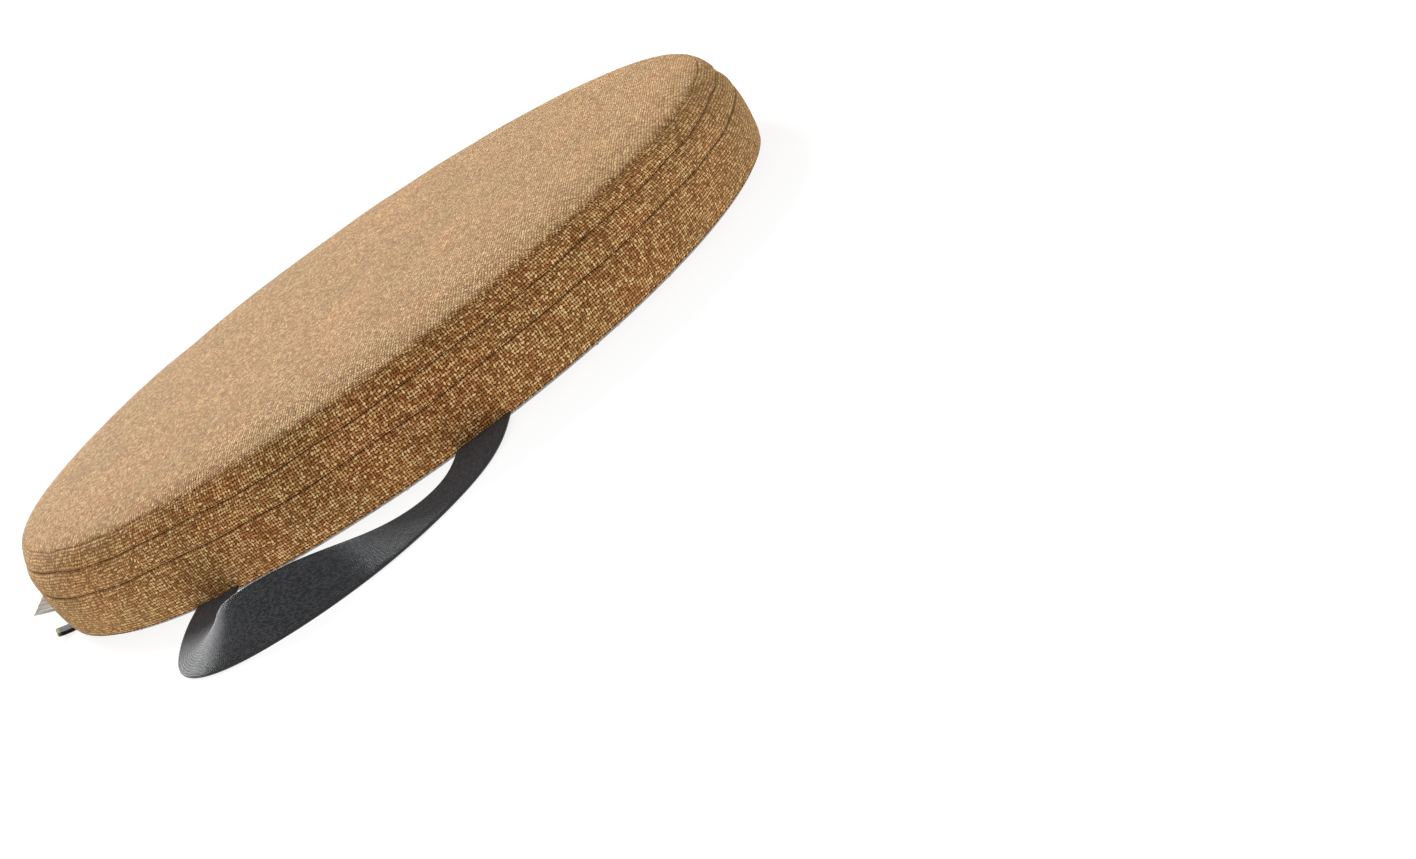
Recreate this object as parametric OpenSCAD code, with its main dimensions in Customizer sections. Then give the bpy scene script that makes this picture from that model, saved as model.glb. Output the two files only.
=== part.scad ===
// Round boxed seat pad: foam disc in a zipped cloth cover with a carrying strap.
// Millimetres, +Z up. Origin at the centre of the bottom face, strap towards -Y.

/* [Pad] */
// Widest diameter of the filled pad
pad_d = 400; // [330:5:480]
// Height of the top seam above the bottom face
side_h = 47; // [44:1:70]
// Height of the crowned top above the top seam
crown = 4; // [2:0.5:8]
// How far the top seam sits in from the widest circle
top_in = 5; // [2:0.5:7]
// How far the bottom seam sits in from the widest circle
bottom_in = 3; // [1:0.5:5]
// Height of the widest circle
widest_z = 20; // [14:1:28]

/* [Cover cloth] */
// Thickness of the top and side cloth
cloth_t = 1.4; // [0.8:0.1:2]
// Thickness of the anti-slip bottom cloth with its dots
base_t = 1.5; // [1:0.1:2]
// Height of the strip between the top seam and the line below it
strip_h = 9.5; // [8:0.5:14]
// Height of the lap that covers the zip
lap_h = 12; // [11.5:0.5:16]
// Width of the turned-in edge inside the bottom seam
bottom_hem = 12; // [6:1:18]
// Opening between two cloth edges where a thread lies
seam_gap = 0.9; // [0.8:0.05:1.2]
// Thickness of the sewing thread
thread_d = 0.7; // [0.4:0.05:0.75]

/* [Zip] */
// Direction of the middle of the zip, in degrees from +X
zip_mid_a = -82; // [-100:1:-70]
// Half of the zip's arc in degrees
zip_half_a = 100; // [70:1:110]
// Arc of each cloth patch that closes the placket, in degrees
tab_a = 3.5; // [2:0.5:6]
// Arc of the bare stretch where the slider parks, in degrees
garage_a = 8; // [8:0.5:12]
// Thickness of the zip tape
tape_t = 0.6; // [0.4:0.1:0.8]
// Height of tape sewn behind the cloth
tape_sewn = 3; // [1:0.5:4]
// Height of one coil
coil_h = 1.6; // [1.2:0.1:1.8]
// Radial thickness of one coil
coil_t = 2; // [1.4:0.1:2.2]
// Length of the slider
slider_len = 9; // [7:0.5:11]
// Width of the slider
slider_w = 6.8; // [6.8:0.1:7.4]
// Length of the pull from its pin
pull_len = 18; // [12:1:18]

/* [Strap] */
// Width of the webbing
strap_w = 25; // [20:1:32]
// Thickness of the webbing
strap_t = 1.3; // [1:0.1:1.8]
// Distance between the middles of the sewn-in ends
strap_span = 134; // [110:2:160]
// Reach of the left handle of the loop's curve
strap_reach_left = 135; // [100:5:170]
// Reach of the right handle of the loop's curve
strap_reach_right = 75; // [50:5:120]
// How far the webbing rolls up on its edge at the turn, in degrees
strap_roll = 55; // [20:1:65]

/* [Labels] */
// Width of the care label
label_w = 22; // [16:1:30]
// Length of the care label that stands out of the seam
label_len = 15; // [10:1:20]
// Thickness of the folded care label
label_t = 0.8; // [0.5:0.1:1.2]
// How far the care label stands up, in degrees
label_tilt = 60; // [30:1:70]
// Direction of the care label, in degrees from +X
label_a = -168; // [-175:1:-165]
// Width of the edge tab
tab_w = 12; // [8:1:16]
// Length of the edge tab that stands out of the seam
tab_len = 8; // [6:0.5:12]
// Thickness of the folded edge tab
tab_t = 1.8; // [1.4:0.1:2.4]
// Direction of the edge tab, in degrees from +X
tab_dir_a = -155; // [-158:1:-145]

/* [Hidden] */
$fn = 96;

// Clearance between two layers that lie on each other
lay_gap = 0.1;
// Degrees left open where two bands meet end to end
join_a = 0.1;
// How far a line of thread lies below the cloth's face
thread_sink = 0.5;
pad_r = pad_d / 2;

// Radius of the cover's outer face at height z: a barrel, widest at widest_z
function side_r(z) = z > widest_z
    ? pad_r - top_in * pow((z - widest_z) / (side_h - widest_z), 2)
    : pad_r - bottom_in * pow((widest_z - z) / widest_z, 2);

// Height of the cover's top face at radius r: flat in the middle, falling at the rim
crown_power = 6;
seam_r = side_r(side_h);
function top_z(r) = side_h + crown * (1 - pow(r / seam_r, crown_power));
// The top face from the middle out to a radius, dropped by some depth
top_steps = 14;
function top_pts(r_end, drop) =
    [for (i = [0:top_steps]) let (r = r_end * i / top_steps) [r, top_z(r) - drop]];

// The two lines round the rim, and where each cloth begins and ends
line1_z = side_h - strip_h;
line2_z = line1_z - lap_h;
half_gap = seam_gap / 2;
strip_top_z = side_h - cloth_t - seam_gap;
strip_low_z = line1_z + half_gap;
hem_low_z = line1_z + tape_sewn + 0.3;
bottom_edge_z = base_t + lay_gap;
base_r = side_r(0) - 1;

// Zip: the arc, and the slider's resting place in the bare stretch
zip_a0 = zip_mid_a - zip_half_a;
zip_a1 = zip_mid_a + zip_half_a;
zip_arc = 2 * zip_half_a;
garage_a1 = zip_a1 - tab_a;
garage_a0 = garage_a1 - garage_a;
zip_z = line1_z - lap_h / 2;

// Slider, measured outwards from the middle of the tape
plate_t = 0.8;
plate_in = coil_t / 2 + 0.3;
plate_out = plate_in + plate_t;
tape_slot = 0.4;
flange_w = 0.9;
bridge_t = 0.7;
bridge_len = 2.2;
coil_part = 0.5;
coil_out = coil_part + coil_h;
crown_top = plate_out + 2;
crown_hole = plate_out + 1.4;
crown_len = 5.2;
crown_hole_len = 3.8;
crown_w = 1.6;
pin_r = 0.5;
pin_out = (plate_out + crown_hole) / 2;
pull_t = 0.9;
pull_w = 5;
pull_root = 3.4;
arm_in = crown_w / 2 + 0.2;
arm_w = 0.9;

// Radius of the tape: as deep as the slider's crown needs under the lap
lap_clear = 0.45;
lap_in_r = side_r(zip_z + slider_w / 2) - cloth_t;
zip_r = lap_in_r - lap_clear - crown_top;
deg_per_mm = 180 / (PI * zip_r);
slider_a = garage_a0 + (slider_len / 2 + 1) * deg_per_mm;
coil_a1 = slider_a + (slider_len / 2 + 0.2) * deg_per_mm;
stop_len = 1.8;
low_stop_a = zip_a0 + tab_a + 0.2;
coil_a0 = low_stop_a + (stop_len + 0.2) * deg_per_mm;

// Strap
strap_half = strap_w / 2;
end_x = strap_span / 2;
rim_clear = 0.3;
hinge_gap = strap_t + 0.1;
fold_y = sqrt(pow(pad_r, 2) - pow(end_x - strap_half, 2)) + rim_clear;
tail_z = bottom_edge_z + 0.05;
strap_mid_z = tail_z + strap_t / 2;
strap_rings = 30;
floor_gap = 0.2;
roll_at = 0.42;
roll_spread = 0.24;

// Bar tacks: above the hem and just inside the band's wall, with the tail's end past them
tack_w = strap_w - 4;
tack_len = 2.4;
tack_t = 0.6;
tack_clear = 0.25;
tack_to_end = 1.7;
hem_top_z = bottom_edge_z + cloth_t;
tack_z = max(tail_z + strap_t + lay_gap, hem_top_z + lay_gap / 2);
tack_y = sqrt(pow(side_r(bottom_edge_z) - cloth_t - tack_clear, 2) - pow(end_x + tack_w / 2, 2));
tail_in = fold_y - tack_y + tack_len + tack_to_end;

// Foam: its foot stops short of the hem and the tails, and its step clears the tacks
foam_bottom_z = base_t + lay_gap;
hem_foot_r = side_r(bottom_edge_z) - cloth_t - bottom_hem - 0.5;
tail_foot_r = norm([end_x - strap_half, fold_y - tail_in]) - 0.4;
foam_step_r = min(hem_foot_r, tail_foot_r);
foam_step_z = max(hem_top_z + 1.2, tack_z + tack_t + 0.5);
groove_clear = 0.4;

// Labels
root_gap = 0.5;
label_root_z = 1.2;

// Outer face of the cover between two heights, as points going up
side_steps = 6;
function side_pts(z0, z1, inset) =
    [for (i = [0:side_steps]) let (z = z0 + (z1 - z0) * i / side_steps) [side_r(z) - inset, z]];
function backwards(pts) = [for (i = [len(pts) - 1:-1:0]) pts[i]];

// Turns a profile through an arc that starts at a0
module turned(a0, arc) {
    rotate([0, 0, a0]) rotate_extrude(angle = arc) children();
}

// A strip of cloth that follows the side between two heights
module side_strip(z0, z1) {
    polygon(concat(side_pts(z0, z1, 0), backwards(side_pts(z0, z1, cloth_t))));
}

// The turned-in edge at the foot of a side band
module foot_hem() {
    r = side_r(bottom_edge_z);
    translate([r - cloth_t - bottom_hem, bottom_edge_z]) square([bottom_hem + 0.6, cloth_t]);
}

// A line of thread at height z that follows the side
module thread_ring(z, a0 = 0, arc = 360) {
    turned(a0, arc) translate([side_r(z) - thread_sink, z]) circle(d = thread_d, $fn = 24);
}

// The room that one strap end takes in the bottom seam
module tail_room(x, clear = 0) {
    size = [strap_w + 2 * clear, tail_in + 2 * clear, strap_t + 2 * clear];
    translate([x - size[0] / 2, -fold_y - clear, tail_z - clear]) cube(size);
}

module foam_core() {
    under_cloth = cloth_t + lay_gap;
    color("gold") difference() {
        rotate_extrude() polygon(concat(
            [[0, foam_bottom_z], [foam_step_r, foam_bottom_z], [foam_step_r, foam_step_z]],
            side_pts(foam_step_z, hem_low_z - 0.5, under_cloth),
            side_pts(hem_low_z - 0.5, strip_top_z, 2 * under_cloth),
            backwards(top_pts(side_r(strip_top_z) - 2 * under_cloth, under_cloth))
        ));
        zip_groove();
    }
}

// Where the zip presses into the foam
module zip_groove() {
    floor_r = zip_r - plate_out - groove_clear;
    reach = slider_w / 2 + 0.8;
    low_z = line2_z - tape_sewn - 1.5;
    high_z = line1_z + tape_sewn + 0.6;
    turned(zip_a0, zip_arc) polygon([
        [pad_r, low_z], [side_r(low_z) - cloth_t - tape_t - 0.4, low_z], [floor_r, zip_z - reach],
        [floor_r, zip_z + reach], [side_r(high_z) - cloth_t - tape_t - 0.6, high_z], [pad_r, high_z]
    ]);
}

module top_panel() {
    edge_z = side_h - cloth_t;
    hem_out = cloth_t + lay_gap;
    hem_in = hem_out + cloth_t;
    color("peru") rotate_extrude() polygon(concat(
        top_pts(seam_r, 0),
        [[seam_r, edge_z], [side_r(edge_z) - hem_out, edge_z]],
        backwards(side_pts(hem_low_z, strip_top_z, hem_out)),
        side_pts(hem_low_z, strip_top_z, hem_in),
        backwards(top_pts(side_r(strip_top_z) - hem_in, cloth_t))
    ));
}

module upper_band() {
    color("sienna") rotate_extrude() side_strip(strip_low_z, strip_top_z);
}

module side_band_front() {
    color("sienna") difference() {
        turned(zip_a0, zip_arc) {
            side_strip(bottom_edge_z, line2_z - half_gap);
            foot_hem();
        }
        for (x = [-end_x, end_x]) tail_room(x, lay_gap);
    }
}

module side_band_back() {
    color("sienna") turned(zip_a1 + join_a, 360 - zip_arc - 2 * join_a) {
        side_strip(bottom_edge_z, line1_z - half_gap);
        foot_hem();
    }
}

module bottom_panel() {
    color("gainsboro") cylinder(r = base_r, h = base_t);
}

module zip_lap() {
    lap_a0 = zip_a0 + tab_a;
    color("sienna") turned(lap_a0 + join_a, garage_a0 - lap_a0 - 2 * join_a)
        side_strip(line2_z + half_gap, line1_z - half_gap);
}

module zip_end_tabs() {
    for (a = [zip_a0, garage_a1])
        color("sienna") turned(a + join_a, tab_a - 2 * join_a)
            side_strip(line2_z + half_gap, line1_z - half_gap);
}

// One tape: from the coil's side, out to the cloth and up behind it. side is 1 above, -1 below
module zip_tape(side) {
    edge_z = side > 0 ? line1_z : line2_z;
    z_coil = zip_z + side * coil_out;
    z_bend = zip_z + side * (slider_w / 2 + 0.2);
    z_meet = edge_z + side * 0.8;
    z_end = edge_z + side * tape_sewn;
    back = tape_t + lay_gap + cloth_t;
    r_meet = side > 0 ? min(side_r(z_meet), side_r(z_end)) : side_r(line2_z);
    half_t = tape_t / 2;
    turned(zip_a0 + join_a, zip_arc - 2 * join_a) polygon([
        [zip_r - half_t, z_coil], [zip_r + half_t, z_coil], [zip_r + half_t, z_bend],
        [r_meet - back + tape_t, z_meet], [r_meet - back + tape_t, z_end],
        [r_meet - back, z_end], [r_meet - back, z_meet], [zip_r - half_t, z_bend]
    ]);
}

module zip_tape_upper() {
    color("saddlebrown") zip_tape(1);
}

module zip_tape_lower() {
    color("saddlebrown") zip_tape(-1);
}

// One coil, as the solid that its turns fill
module zip_coil(side) {
    low = side > 0 ? zip_z + coil_part : zip_z - coil_out;
    turned(coil_a0, coil_a1 - coil_a0) translate([zip_r - coil_t / 2, low]) square([coil_t, coil_h]);
}

module zip_coil_upper() {
    color("chocolate") zip_coil(1);
}

module zip_coil_lower() {
    color("chocolate") zip_coil(-1);
}

module zip_top_stops() {
    arc = stop_len * deg_per_mm;
    for (side = [-1, 1])
        color("silver") turned(coil_a1 + 0.2 * deg_per_mm, arc)
            translate([zip_r - coil_t / 2 - 0.2, zip_z + side * (coil_part + coil_out) / 2 - coil_h / 2])
                square([coil_t + 0.4, coil_h]);
}

module zip_bottom_stop() {
    color("silver") turned(low_stop_a, stop_len * deg_per_mm)
        translate([zip_r - coil_t / 2 - 0.2, zip_z - coil_out]) square([coil_t + 0.4, 2 * coil_out]);
}

// A box given by its middle and its size
module centred_box(mid, size) {
    translate(mid) cube(size, center = true);
}

// Puts its children on the tape at the slider: X outwards, Y along the zip
module at_slider() {
    rotate([0, 0, slider_a]) translate([zip_r, 0, zip_z]) children();
}

module zip_slider() {
    flange_h = plate_in + plate_t / 2 - tape_slot;
    color("silver") at_slider() {
        for (side = [-1, 1]) {
            centred_box([side * (plate_in + plate_t / 2), 0, 0], [plate_t, slider_len, slider_w]);
            for (edge = [-1, 1])
                centred_box([side * (tape_slot + flange_h / 2), 0, edge * (slider_w - flange_w) / 2],
                    [flange_h, slider_len, flange_w]);
        }
        centred_box([0, slider_len / 2 - bridge_len / 2, 0], [2 * plate_in + 0.2, bridge_len, bridge_t]);
        difference() {
            centred_box([(plate_out + crown_top) / 2 - 0.1, 0, 0],
                [crown_top - plate_out + 0.2, crown_len, crown_w]);
            centred_box([(plate_out + crown_hole) / 2, 0, 0],
                [crown_hole - plate_out, crown_hole_len, crown_w + 1]);
        }
    }
}

module zip_pull() {
    plate_len = pull_len - pull_root;
    color("silver") at_slider() translate([pin_out, 0, 0]) {
        cylinder(r = pin_r, h = 2 * (arm_in + arm_w), center = true);
        for (side = [-1, 1])
            centred_box([0, (pull_root + 0.2) / 2, side * (arm_in + arm_w / 2)],
                [pull_t, pull_root + 0.2, arm_w]);
        difference() {
            centred_box([0, pull_root + plate_len / 2, 0], [pull_t, plate_len, pull_w]);
            translate([0, pull_len - 3.5, 0]) rotate([0, 90, 0]) cylinder(r = 1.3, h = 4, center = true);
        }
    }
}

module top_seam_thread() {
    color("black") thread_ring(strip_top_z + half_gap);
}

module band_seam_thread() {
    color("black") thread_ring(line1_z, zip_a1, 360 - zip_arc);
}

module lap_stitching() {
    color("black") thread_ring(line2_z, zip_a0, zip_arc);
}

module bottom_seam_thread() {
    color("black") rotate_extrude()
        translate([base_r + lay_gap + thread_d / 2, base_t - thread_d / 2 - lay_gap])
            circle(d = thread_d, $fn = 24);
}

module strap_tails() {
    for (x = [-end_x, end_x]) color("dimgray") tail_room(x);
}

module strap_bartacks() {
    for (x = [-end_x, end_x])
        color("black") centred_box([x, tack_len / 2 - tack_y, tack_z + tack_t / 2],
            [tack_w, tack_len, tack_t]);
}

// The loop lies on the floor beside the rim. In plan its middle line is one cubic curve that
// leaves each end square to the rim; t runs from 0 at the left end to 1 at the right end.
function loop_x(t) = end_x * (3 * t * t - 2 * t * t * t - pow(1 - t, 2) * (1 + 2 * t));
function loop_y(t) = -fold_y - hinge_gap
    - 3 * pow(1 - t, 2) * t * strap_reach_left - 3 * (1 - t) * t * t * strap_reach_right;
function loop_dir(t) = let (
    dx = 12 * end_x * t * (1 - t),
    dy = -3 * strap_reach_left * (1 - t) * (1 - 3 * t) - 3 * strap_reach_right * t * (2 - 3 * t),
    n = norm([dx, dy])
) [dx / n, dy / n];
// Roll on to the outer edge at the turn: a bell round roll_at
function loop_roll(t) = strap_roll * exp(-pow((t - roll_at) / roll_spread, 2));
// Weight of the sewn ends' height, fading away from both ends
function end_share(t) = exp(-pow(t / 0.09, 2)) + exp(-pow((1 - t) / 0.09, 2));
function loop_z(t) = let (
    a = loop_roll(t),
    lying = strap_half * sin(a) + strap_t / 2 * cos(a) + floor_gap,
    share = end_share(t)
) lying * (1 - share) + strap_mid_z * share;
// Four corners of the webbing's section at t: outer edge down, inner edge up
function loop_ring(t) = let (
    d = loop_dir(t),
    a = loop_roll(t),
    across = [-d[1] * cos(a), d[0] * cos(a), sin(a)],
    through = [d[1] * sin(a), -d[0] * sin(a), cos(a)],
    c = [loop_x(t), loop_y(t), loop_z(t)]
) [for (s = [[-1, -1], [1, -1], [1, 1], [-1, 1]])
    c + s[0] * strap_half * across + s[1] * strap_t / 2 * through];

module carry_strap() {
    rings = [for (i = [0:strap_rings]) loop_ring(i / strap_rings)];
    points = [for (ring = rings) for (p = ring) p];
    last = 4 * strap_rings;
    faces = concat(
        [[3, 2, 1], [3, 1, 0]],
        [for (i = [0:strap_rings - 1]) for (k = [0:3]) let (a = 4 * i + k, b = 4 * i + (k + 1) % 4)
            each [[a, b, b + 4], [a, b + 4, a + 4]]],
        [[last, last + 1, last + 2], [last, last + 2, last + 3]]
    );
    color("dimgray") polyhedron(points, faces, convexity = 4);
}

// A folded piece of tape that stands out of the bottom seam
module seam_tag(a, size, tilt) {
    root_r = side_r(label_root_z) + root_gap;
    rotate([0, 0, a]) translate([root_r, 0, label_root_z]) rotate([0, -tilt, 0])
        translate([0, -size[1] / 2, -size[2] / 2]) cube(size);
}

module care_label() {
    color("white") seam_tag(label_a, [label_len, label_w, label_t], label_tilt);
}

module edge_tab() {
    color("black") seam_tag(tab_dir_a, [tab_len, tab_w, tab_t], 12);
}

foam_core();
top_panel();
upper_band();
side_band_front();
side_band_back();
bottom_panel();
zip_lap();
zip_end_tabs();
zip_tape_upper();
zip_tape_lower();
zip_coil_upper();
zip_coil_lower();
zip_top_stops();
zip_bottom_stop();
zip_slider();
zip_pull();
top_seam_thread();
band_seam_thread();
lap_stitching();
bottom_seam_thread();
strap_tails();
strap_bartacks();
carry_strap();
care_label();
edge_tab();
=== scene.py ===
"""A round boxed seat pad: a zipped linen-look cover over a foam disc, with a webbing carrying strap.

Everything is in metres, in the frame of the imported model: +Z up, the origin in the middle of the bottom
face, the strap towards -Y. Each sub-assembly is a class, and main() builds them in order.
"""

import logging
import math
from dataclasses import dataclass, field
from enum import Enum
from typing import Sequence

import bmesh
import bpy
import numpy as np
from mathutils import Matrix, Vector

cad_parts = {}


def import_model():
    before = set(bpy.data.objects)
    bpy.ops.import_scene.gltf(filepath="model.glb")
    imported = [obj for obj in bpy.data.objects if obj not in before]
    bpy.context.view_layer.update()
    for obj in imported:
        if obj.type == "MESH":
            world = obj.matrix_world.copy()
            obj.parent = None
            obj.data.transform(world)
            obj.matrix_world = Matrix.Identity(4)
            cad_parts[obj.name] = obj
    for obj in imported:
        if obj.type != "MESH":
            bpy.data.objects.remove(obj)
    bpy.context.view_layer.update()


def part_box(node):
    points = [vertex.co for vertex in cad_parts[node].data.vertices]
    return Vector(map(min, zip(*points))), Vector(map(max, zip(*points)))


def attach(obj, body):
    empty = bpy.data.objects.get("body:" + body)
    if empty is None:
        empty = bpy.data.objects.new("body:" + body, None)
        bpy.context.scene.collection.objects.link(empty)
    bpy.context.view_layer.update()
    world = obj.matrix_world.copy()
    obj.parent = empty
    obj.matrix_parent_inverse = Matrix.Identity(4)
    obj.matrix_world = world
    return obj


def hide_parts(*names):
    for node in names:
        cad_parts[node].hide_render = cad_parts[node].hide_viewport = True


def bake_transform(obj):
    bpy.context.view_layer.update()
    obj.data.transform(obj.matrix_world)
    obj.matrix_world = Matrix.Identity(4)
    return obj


log = logging.getLogger("seat_pad")
Array = np.ndarray
Colour = tuple[float, float, float]
MM = 0.001
TURN = 2 * math.pi


class Body(Enum):
    """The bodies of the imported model."""

    PAD = "pad"
    SLIDER = "slider"
    PULL = "pull"
    STRAP = "strap"
    LABEL = "label"


class Slot(Enum):
    """Names of material slots."""

    LINEN = "linen_weave"
    GRIP = "grip_cloth"
    FOAM = "foam"
    WEBBING = "webbing"
    ZIP_TAPE = "zip_tape"
    ZIP_NYLON = "zip_nylon"
    ZIP_METAL = "zip_metal"
    THREAD = "thread"
    BLACK_THREAD = "black_thread"
    SATIN = "label_satin"
    TAB = "tab_cloth"


# ---------------------------------------------------------------------------------------------------
# Meshes
# ---------------------------------------------------------------------------------------------------


@dataclass
class Solid:
    """One closed mesh as arrays: points, four-sided faces, three-sided faces and a UV for each point."""

    points: Array
    quads: Array
    tris: Array = field(default_factory=lambda: np.zeros((0, 3), int))
    uv: Array | None = None

    def volume(self) -> float:
        """Signed volume: the sum over the triangles of a . (b x c) / 6."""
        q, p = self.quads, self.points
        t = np.vstack([q[:, [0, 1, 2]], q[:, [0, 2, 3]], self.tris]).astype(int)
        a, b, c = p[t[:, 0]], p[t[:, 1]], p[t[:, 2]]
        return float(np.einsum("ij,ij->i", a, np.cross(b, c)).sum() / 6)

    def outward(self) -> "Solid":
        """The same solid with its faces turned to point outwards."""
        if self.volume() < 0:
            self.quads = self.quads[:, ::-1]
            self.tris = self.tris[:, ::-1]
        return self

    def build(self, name: str, smooth: bool = True) -> bpy.types.Object:
        """Makes the Blender object, at the origin, with its place in its mesh.

        Args:
            name: The object's name.
            smooth: Whether its faces are shaded smooth.

        Returns:
            The new object, linked to the scene.
        """
        mesh = bpy.data.meshes.new(name)
        mesh.from_pydata(self.points.tolist(), [], [*self.quads.tolist(), *self.tris.tolist()])
        if self.uv is not None:
            layer = mesh.uv_layers.new(name="cloth")
            index = np.zeros(len(mesh.loops), np.int32)
            mesh.loops.foreach_get("vertex_index", index)
            layer.data.foreach_set("uv", self.uv[index].astype(np.float32).ravel())
        mesh.polygons.foreach_set("use_smooth", np.full(len(mesh.polygons), smooth))
        mesh.update()
        made = bpy.data.objects.new(name, mesh)
        bpy.context.scene.collection.objects.link(made)
        return made


def mesh_points(mesh: bpy.types.Mesh) -> Array:
    """The points of a mesh."""
    co = np.zeros(len(mesh.vertices) * 3, np.float32)
    mesh.vertices.foreach_get("co", co)
    return co.reshape(-1, 3).astype(float)


def joined(solids: Sequence[Solid]) -> Solid:
    """Several closed solids as one mesh.

    Args:
        solids: The solids, each turned outwards here.

    Returns:
        One solid that holds them all.
    """
    points, quads, tris, uvs, start = [], [], [], [], 0
    for s in solids:
        s.outward()
        points.append(s.points)
        quads.append(s.quads + start)
        tris.append(s.tris + start)
        uvs.append(s.uv if s.uv is not None else s.points[:, :2])
        start += len(s.points)
    return Solid(np.vstack(points), np.vstack(quads), np.vstack(tris), np.vstack(uvs))


def tube_faces(rings: int, sides: int, wrap: bool) -> Array:
    """Quads between neighbouring rings of points.

    Args:
        rings: How many rings there are.
        sides: Points in each ring, which closes on itself.
        wrap: Whether the last ring joins the first.

    Returns:
        The quads, as indices into the rings' points in order.
    """
    i = np.arange(rings if wrap else rings - 1)[:, None]
    k = np.arange(sides)[None, :]
    a, b = i * sides + k, i * sides + (k + 1) % sides
    up = ((i + 1) % rings) * sides
    return np.stack([a, b, up + (k + 1) % sides, up + k], -1).reshape(-1, 4)


def swept(rings: Array, wrap: bool = False, uv: Array | None = None) -> Solid:
    """A tube through rings of points, with a fan from a middle point over each open end.

    Args:
        rings: Points with shape (rings, sides, 3).
        wrap: Whether the tube closes on itself.
        uv: The UV of each point, with shape (rings, sides, 2).

    Returns:
        The closed solid.
    """
    n, m = rings.shape[:2]
    points, quads = rings.reshape(-1, 3), tube_faces(n, m, wrap)
    flat = None if uv is None else uv.reshape(-1, 2)
    if wrap:
        return Solid(points, quads, uv=flat).outward()
    k = np.arange(m)
    first = np.stack([np.full(m, n * m), (k + 1) % m, k], -1)
    last = np.stack([np.full(m, n * m + 1), (n - 1) * m + k, (n - 1) * m + (k + 1) % m], -1)
    points = np.vstack([points, rings[0].mean(0), rings[-1].mean(0)])
    if flat is not None:
        flat = np.vstack([flat, uv[0].mean(0), uv[-1].mean(0)])
    return Solid(points, quads, np.vstack([first, last]), flat).outward()


def sheet_solid(rings: Array, uv: Array) -> Solid:
    """A strip of sheet whose section is a thin loop: one face out and the other back, in equal steps.

    Args:
        rings: The section's points at each place along the strip, with shape (rings, points, 3).
        uv: The UV of each point, with shape (rings, points, 2).

    Returns:
        The closed solid, with quads between the two faces at both ends.
    """
    n, m = rings.shape[:2]
    i = np.arange(m // 2 - 1)
    cap = np.stack([i, i + 1, m - 2 - i, m - 1 - i], -1)
    quads = np.vstack([tube_faces(n, m, False), cap[:, ::-1], cap + (n - 1) * m])
    return Solid(rings.reshape(-1, 3), quads, uv=uv.reshape(-1, 2)).outward()


def repeated(shape: Solid, places: Array) -> Solid:
    """One small shape at many places.

    Args:
        shape: The shape, whose points are not used, only its faces.
        places: The points of every copy, with shape (copies, points of the shape, 3).

    Returns:
        All the copies as one solid.
    """
    n, m = places.shape[:2]
    shift = (np.arange(n) * m)[:, None, None]
    quads = (shape.quads[None] + shift).reshape(-1, 4)
    tris = (shape.tris[None] + shift).reshape(-1, 3)
    return Solid(places.reshape(-1, 3), quads, tris).outward()


def unit(vectors: Array) -> Array:
    """The same vectors, each made one unit long."""
    return vectors / np.maximum(np.linalg.norm(vectors, axis=-1, keepdims=True), 1e-9)


def beside(line: Array) -> Array:
    """Normals on the right of a flat line: its slope turned by a quarter."""
    slope = unit(np.gradient(line, axis=0))
    return np.stack([slope[:, 1], -slope[:, 0]], -1)


def distances(line: Array) -> Array:
    """How far along a line each point lies: the running sum of the steps between them."""
    return np.r_[0, np.cumsum(np.linalg.norm(np.diff(line, axis=0), axis=1))]


def sampled(at: Array, places: Array, values: Array) -> Array:
    """Each column of values, known at the given places, read between them at other places."""
    return np.stack([np.interp(at, places, column) for column in values.T], -1)


def about_axis(r: Array, azimuth: Array, z: Array) -> Array:
    """Points at radii, directions and heights about the pad's axis: x is r cos, y is r sin."""
    r, azimuth, z = np.broadcast_arrays(r, azimuth, z)
    return np.stack([r * np.cos(azimuth), r * np.sin(azimuth), z], -1)


def full_turn(count: int) -> Array:
    """Evenly spaced directions round a whole turn."""
    return np.arange(count) / count * TURN


def smoothstep(x: Array) -> Array:
    """Turns 0..1 into a soft step: 3x squared less 2x cubed, held at 0 and 1 outside."""
    x = np.clip(x, 0, 1)
    return x * x * (3 - 2 * x)


def bell_average(values: Array, spacing: float, spread: float) -> Array:
    """A bell-weighted running average, with the line carried straight on past both ends.

    Args:
        values: Evenly spaced values along the first axis.
        spacing: The distance between neighbours.
        spread: The bell's standard deviation.

    Returns:
        The averaged values.
    """
    reach = int(math.ceil(3 * spread / spacing))
    bell = np.exp(-0.5 * (np.arange(-reach, reach + 1) * spacing / spread) ** 2)
    bell /= bell.sum()
    before = 2 * values[:1] - values[reach:0:-1]
    after = 2 * values[-1:] - values[-2 : -reach - 2 : -1]
    long = np.concatenate([before, values, after])
    return np.stack([np.convolve(long[:, k], bell, "valid") for k in range(values.shape[1])], -1)


# ---------------------------------------------------------------------------------------------------
# Materials
# ---------------------------------------------------------------------------------------------------


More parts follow.
